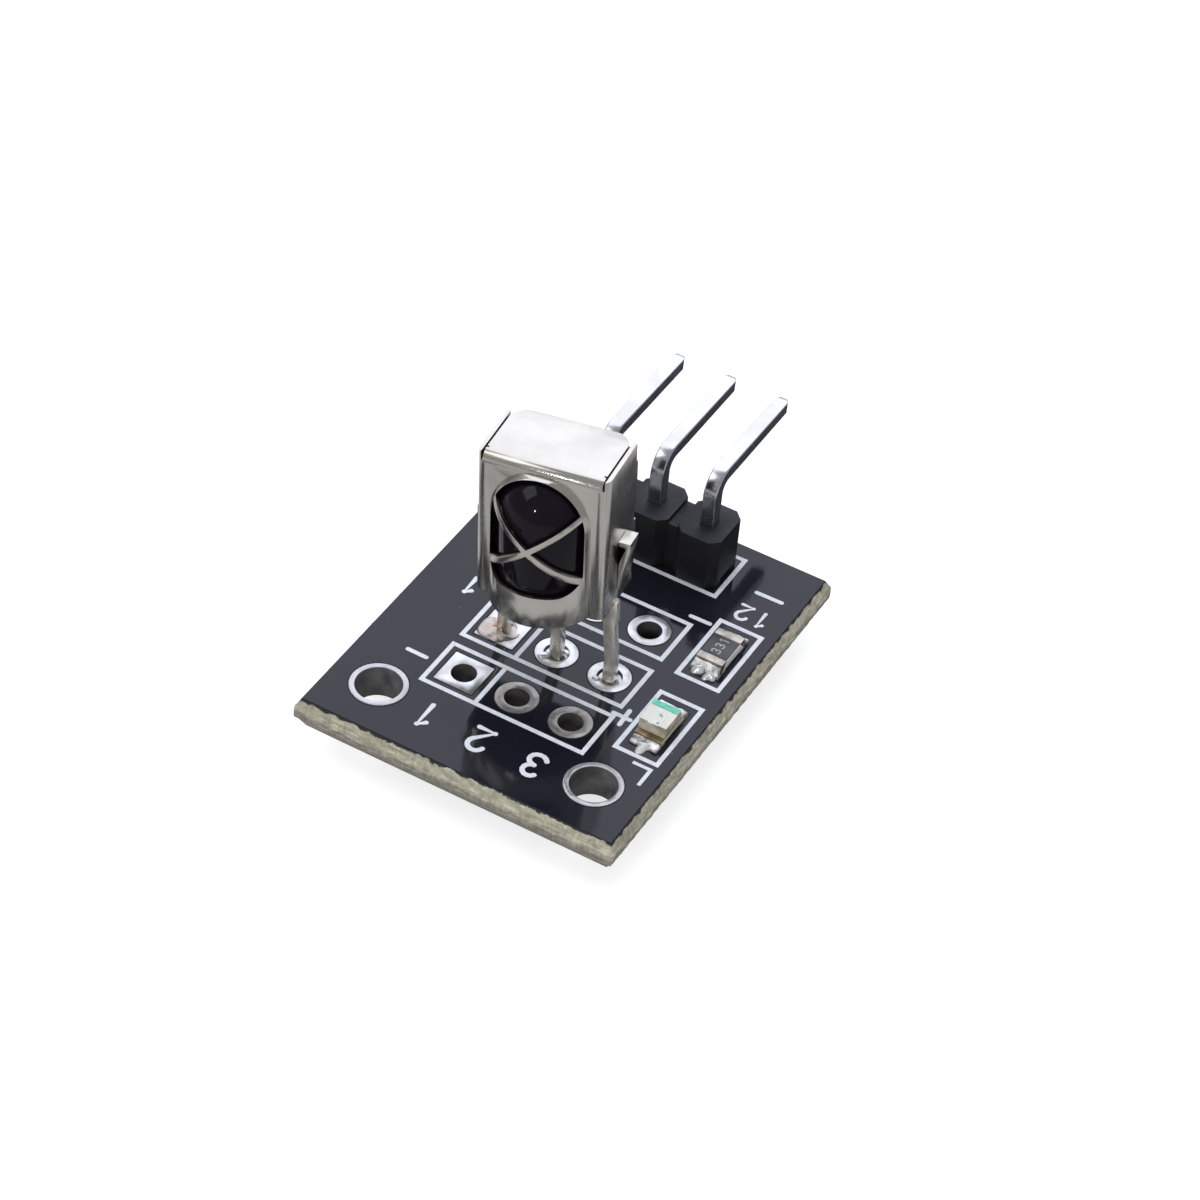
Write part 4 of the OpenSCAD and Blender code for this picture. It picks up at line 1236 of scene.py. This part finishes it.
class MODULE_OT_printed_marks(bpy.types.Operator):
    """Print plain pin numbers, signs and short bars on the board"""

    bl_idname = "module.printed_marks"
    bl_label = "Printed Marks"

    def execute(self, context):
        ink = context.scene.module_ink
        white = ink_material("ink", ink.colour)
        paint("printed_outlines", white)
        signs = [
            [(-5.2, 2.44), (-4.31, 2.43)],
            [(3.56, 10.82), (4.45, 10.84)],
            [(5.18, 13.67), (6.36, 13.69)],
            [(3.72, 3.99), (4.5, 3.975)],
            [(4.22, 4.44), (4.26, 3.52)],
        ]
        numbers = []
        for text, x in (("1", -2.54), ("2", 0.0), ("3", 2.54)):
            numbers += draw_glyphs(text, 1.28, (x, -0.42), 180)
        row = draw_glyphs("1", 1.0, (-5.05, 7.22), 180)
        chip = draw_glyphs("12", 0.9, (5.74, 12.25), 180, 0.95)
        plan = (
            ("printed_signs", signs, 1.0), ("pin_numbers", numbers, 1.1), ("row_number", row, 1.1),
            ("chip_number", chip, 0.8),
        )
        for name, strokes, weight in plan:
            ink_piece(name, strokes, weight * ink.stroke, ink.thickness, BOARD_TOP, white, "print")
        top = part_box("resistor_glaze")[1]
        middle = (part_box("resistor_glaze")[0] + top) / 2 / MM
        code = draw_glyphs("331", 0.38, (middle.x - 0.02, middle.y), 90, 0.95)
        grey = ink_material("chip_ink", (0.38, 0.39, 0.40))
        ink_piece("resistor_code", code, 0.055 * MM, 0.006 * MM, top.z, grey, "resistor_glaze")
        return {"FINISHED"}


# Pins, in millimetres: rounding of the edges, radius of the bend and length of a tip. The share is the width of
# a tip's end beside the pin's side.
PIN_ROUNDING = 0.07
PIN_BEND = 0.8
PIN_TIP_LENGTH = 0.3
PIN_TIP_SHARE = 0.62


class MODULE_OT_header(bpy.types.Operator):
    """Finish the header's plastic body and its pins"""

    bl_idname = "module.header"
    bl_label = "Header"

    def execute(self, context):
        finish = context.scene.module_finish
        plastic = varied("header_plastic", finish.plastic)
        softened("header_housing", "header_strip", 0.05 * MM, plastic, "housing", segments=3)
        for index in PLACES:
            low, high = (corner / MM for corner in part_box(f"header_pin_{index}"))
            side = high.x - low.x
            x, y, z = (low.x + high.x) / 2, low.y + side / 2, high.z - side / 2
            tip = PIN_TIP_LENGTH
            path = [(x, y, low.z), (x, y, low.z + tip), (x, y, z), (x, high.y - tip, z), (x, high.y, z)]
            wire = swept_wire(
                f"bent_pin_{index}", path, side, PIN_ROUNDING, PIN_BEND, PIN_TIP_SHARE, varied("pin_tin")
            )
            finish_piece(wire, "pins", f"header_pin_{index}")
        return {"FINISHED"}


class MODULE_OT_receiver(bpy.types.Operator):
    """Finish the receiver: its folded shield, its moulded body and its leads"""

    bl_idname = "module.receiver"
    bl_label = "Receiver"

    def execute(self, context):
        finish = context.scene.module_finish
        sheet = varied("shield_plating", finish.shield)
        softened("receiver_shield", "folded_shield", 0.05 * MM, sheet, "shield", segments=2)
        softened("receiver_body", "moulded_lens", 0.05 * MM, varied("dark_epoxy"), "epoxy", segments=3)
        for index in PLACES:
            name, piece = f"receiver_lead_{index}", f"bent_lead_{index}"
            softened(name, piece, 0.05 * MM, varied("lead_tin"), "leads", segments=2)
        return {"FINISHED"}


class MODULE_OT_solder(bpy.types.Operator):
    """Finish the solder of the pins, leads and chips"""

    bl_idname = "module.solder"
    bl_label = "Solder"

    def execute(self, context):
        bright = varied("bright_solder")
        for index in PLACES:
            lumpy(f"header_solder_{index}", f"header_joint_{index}", 0.06, 0.03, 1.2, index, bright, "solder")
            name, piece = f"receiver_solder_{index}", f"receiver_joint_{index}"
            lumpy(name, piece, 0.05, 0.05, 1.6, 5 + index, bright, "solder")
        for seed, chip in ((3.3, "resistor"), (7.1, "led")):
            # The chip fillets take patches of painted highlights and painted dark reflections
            glint_patches = varied("blotched_solder")
            lumpy(f"{chip}_solder", f"{chip}_fillets", 0.03, 0.1, 1.8, seed, glint_patches, "chip_solder")
        self.filled_pad()
        self.chip_solder(bright)
        self.stray_blobs(bright)
        return {"FINISHED"}

    @staticmethod
    def stray_blobs(bright):
        """Blobs of solder beside the leads: x, y and radius in millimetres"""
        blobs = ((-0.34, 5.26, 0.24), (2.66, 5.5, 0.17), (2.1, 5.3, 0.16), (0.36, 5.95, 0.15))
        level = BOARD_TOP + 0.005 * MM
        for index, (x, y, size) in enumerate(blobs):

            def radius(a, size=size, index=index):
                return size * (1 + 0.2 * math.sin(2 * a + index))

            def height(u, v, size=size):
                return 0.6 * size

            name = f"solder_blob_{index}"
            mound(name, (x, y), radius, height, level, bright, "solder", rings=6, spokes=20)

    @staticmethod
    def chip_solder(bright):
        """Bright runs of solder over the front lands of the chips: centre, radius and its waves"""
        plan = (
            ("led_solder_run", (5.72, 2.98), 0.40, 0.13, 3, 0.4, "led_solder"),
            ("resistor_solder_run_a", (5.42, 8.02), 0.24, 0.07, 2, 0.9, "resistor_solder"),
            ("resistor_solder_run_b", (5.98, 7.98), 0.26, 0.08, 3, 2.2, "resistor_solder"),
        )
        for name, centre, size, wave, lobes, turn, source in plan:
            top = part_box(source)[1].z - BOARD_TOP

            def radius(a, size=size, wave=wave, lobes=lobes, turn=turn):
                return size + wave * math.sin(lobes * a + turn)

            def height(x, y, centre=centre, size=size, top=top):
                rise = 0.62 + 0.45 * (y - centre[1]) / size
                return max(0.05, min(1.0, rise)) * (top / MM + 0.06)

            mound(name, centre, radius, height, BOARD_TOP, bright, "chip_solder", rings=10, spokes=36)

    @staticmethod
    def filled_pad():
        """Solder that ran over the first pad of the receiver, with a trace of amber flux"""
        level = BOARD_TOP + 0.018 * MM

        def height(x, y):
            pit = max(0.0, 1 - math.hypot(x + 2.2, y - 5.74) / 0.4)
            ripple = 0.09 * noise.noise(Vector((2.6 * x, 2.6 * y, 3.0)))
            return max(0.004, 0.15 + ripple - 0.7 * pit)

        def radius(a):
            return 0.8 + 0.07 * math.sin(2 * a + 0.9) + 0.05 * math.sin(5 * a + 1.0)

        def spot_radius(a):
            return 0.27 + 0.06 * math.sin(2 * a)

        def spot_height(x, y):
            return 0.19

        fluxed, amber = varied("fluxed_solder"), varied("amber_flux")
        pool, spot = (-2.7, 5.52), (-2.84, 5.66)
        mound("flooded_pad_solder", pool, radius, height, level, fluxed, "solder", rings=20, spokes=56)
        mound("amber_flux", spot, spot_radius, spot_height, level, amber, "solder", rings=6, spokes=24)


class MODULE_OT_chips(bpy.types.Operator):
    """Finish the chip resistor and the chip LED"""

    bl_idname = "module.chips"
    bl_label = "Chips"

    def execute(self, context):
        glow = context.scene.module_finish.glow
        # Node, piece, rounding of its edges in millimetres, finish and slot
        plan = (
            ("resistor_core", "resistor_ceramic", 0.02, "ceramic", "ceramic_core"),
            ("resistor_glaze", "resistor_overcoat", 0.008, "resistor_overcoat", "resistor_glaze"),
            ("resistor_terminals", "resistor_ends", 0.03, "chip_end", "terminals"),
            ("resistor_lands", "resistor_copper", 0.02, "tinned_land", "lands"),
            ("led_base", "led_carrier", 0.02, "led_carrier", "led_base"),
            ("led_lens", "led_cover", 0.05, "led_milk", "led_lens"),
            ("led_terminals", "led_ends", 0.03, "led_end", "led_terminals"),
            ("led_lands", "led_copper", 0.02, "tinned_land", "lands"),
        )
        for source, name, width, look, slot in plan:
            material = varied(look, glow if look == "led_milk" else None)
            made = softened(source, name, width * MM, material, slot, segments=3)
            if source == "led_lens":
                give_walls(made, varied("led_wall"))
        paint("led_mark", varied("green_bar"))
        paint("led_chip", varied("led_die"))
        self.lens_spots()
        return {"FINISHED"}

    @staticmethod
    def lens_spots():
        """The glare and the dark wire ends that show through the LED's lens"""
        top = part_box("led_lens")[1].z
        pale = ink_material("lens_glare", (0.66, 0.69, 0.66))
        shade = ink_material("lens_shade", (0.30, 0.33, 0.33))
        glare = [[(5.6, 4.32), (5.86, 4.2), (5.9, 3.75), (5.6, 3.72)]]
        ends = [[(5.73, 4.2), (5.8, 4.16)], [(5.86, 3.72)]]
        ink_piece("lens_bright_spots", glare, 0.36 * MM, 0.004 * MM, top, pale, "led_lens")
        ink_piece("lens_dark_spots", ends, 0.13 * MM, 0.009 * MM, top, shade, "led_lens")


class MODULE_PT_panel(bpy.types.Panel):
    """Shows the settings and the operators of the module"""

    bl_idname = "MODULE_PT_panel"
    bl_label = "Receiver Module"
    bl_space_type = "VIEW_3D"
    bl_region_type = "UI"
    bl_category = "Module"

    def draw(self, context):
        for name, group in SETTINGS:
            box = self.layout.box()
            for key in group.__annotations__:
                box.prop(getattr(context.scene, name), key)
        for operator in OPERATORS:
            self.layout.operator(operator.bl_idname)


SETTINGS = (
    ("module_stage", StageSettings),
    ("module_finish", FinishSettings),
    ("module_ink", InkSettings),
    ("module_edge", EdgeSettings),
)
OPERATORS = (
    MODULE_OT_stage, MODULE_OT_board, MODULE_OT_snapped_edge, MODULE_OT_printed_marks, MODULE_OT_header,
    MODULE_OT_receiver, MODULE_OT_solder, MODULE_OT_chips,
)


def register():
    for name, group in SETTINGS:
        bpy.utils.register_class(group)
        setattr(bpy.types.Scene, name, bpy.props.PointerProperty(type=group))
    for operator in OPERATORS:
        bpy.utils.register_class(operator)
    bpy.utils.register_class(MODULE_PT_panel)


def unregister():
    bpy.utils.unregister_class(MODULE_PT_panel)
    for operator in reversed(OPERATORS):
        bpy.utils.unregister_class(operator)
    for name, group in reversed(SETTINGS):
        delattr(bpy.types.Scene, name)
        bpy.utils.unregister_class(group)


def main():
    register()
    bpy.ops.module.stage()
    bpy.ops.module.board()
    bpy.ops.module.snapped_edge()
    bpy.ops.module.printed_marks()
    bpy.ops.module.header()
    bpy.ops.module.receiver()
    bpy.ops.module.solder()
    bpy.ops.module.chips()


if __name__ == "__main__":
    main()
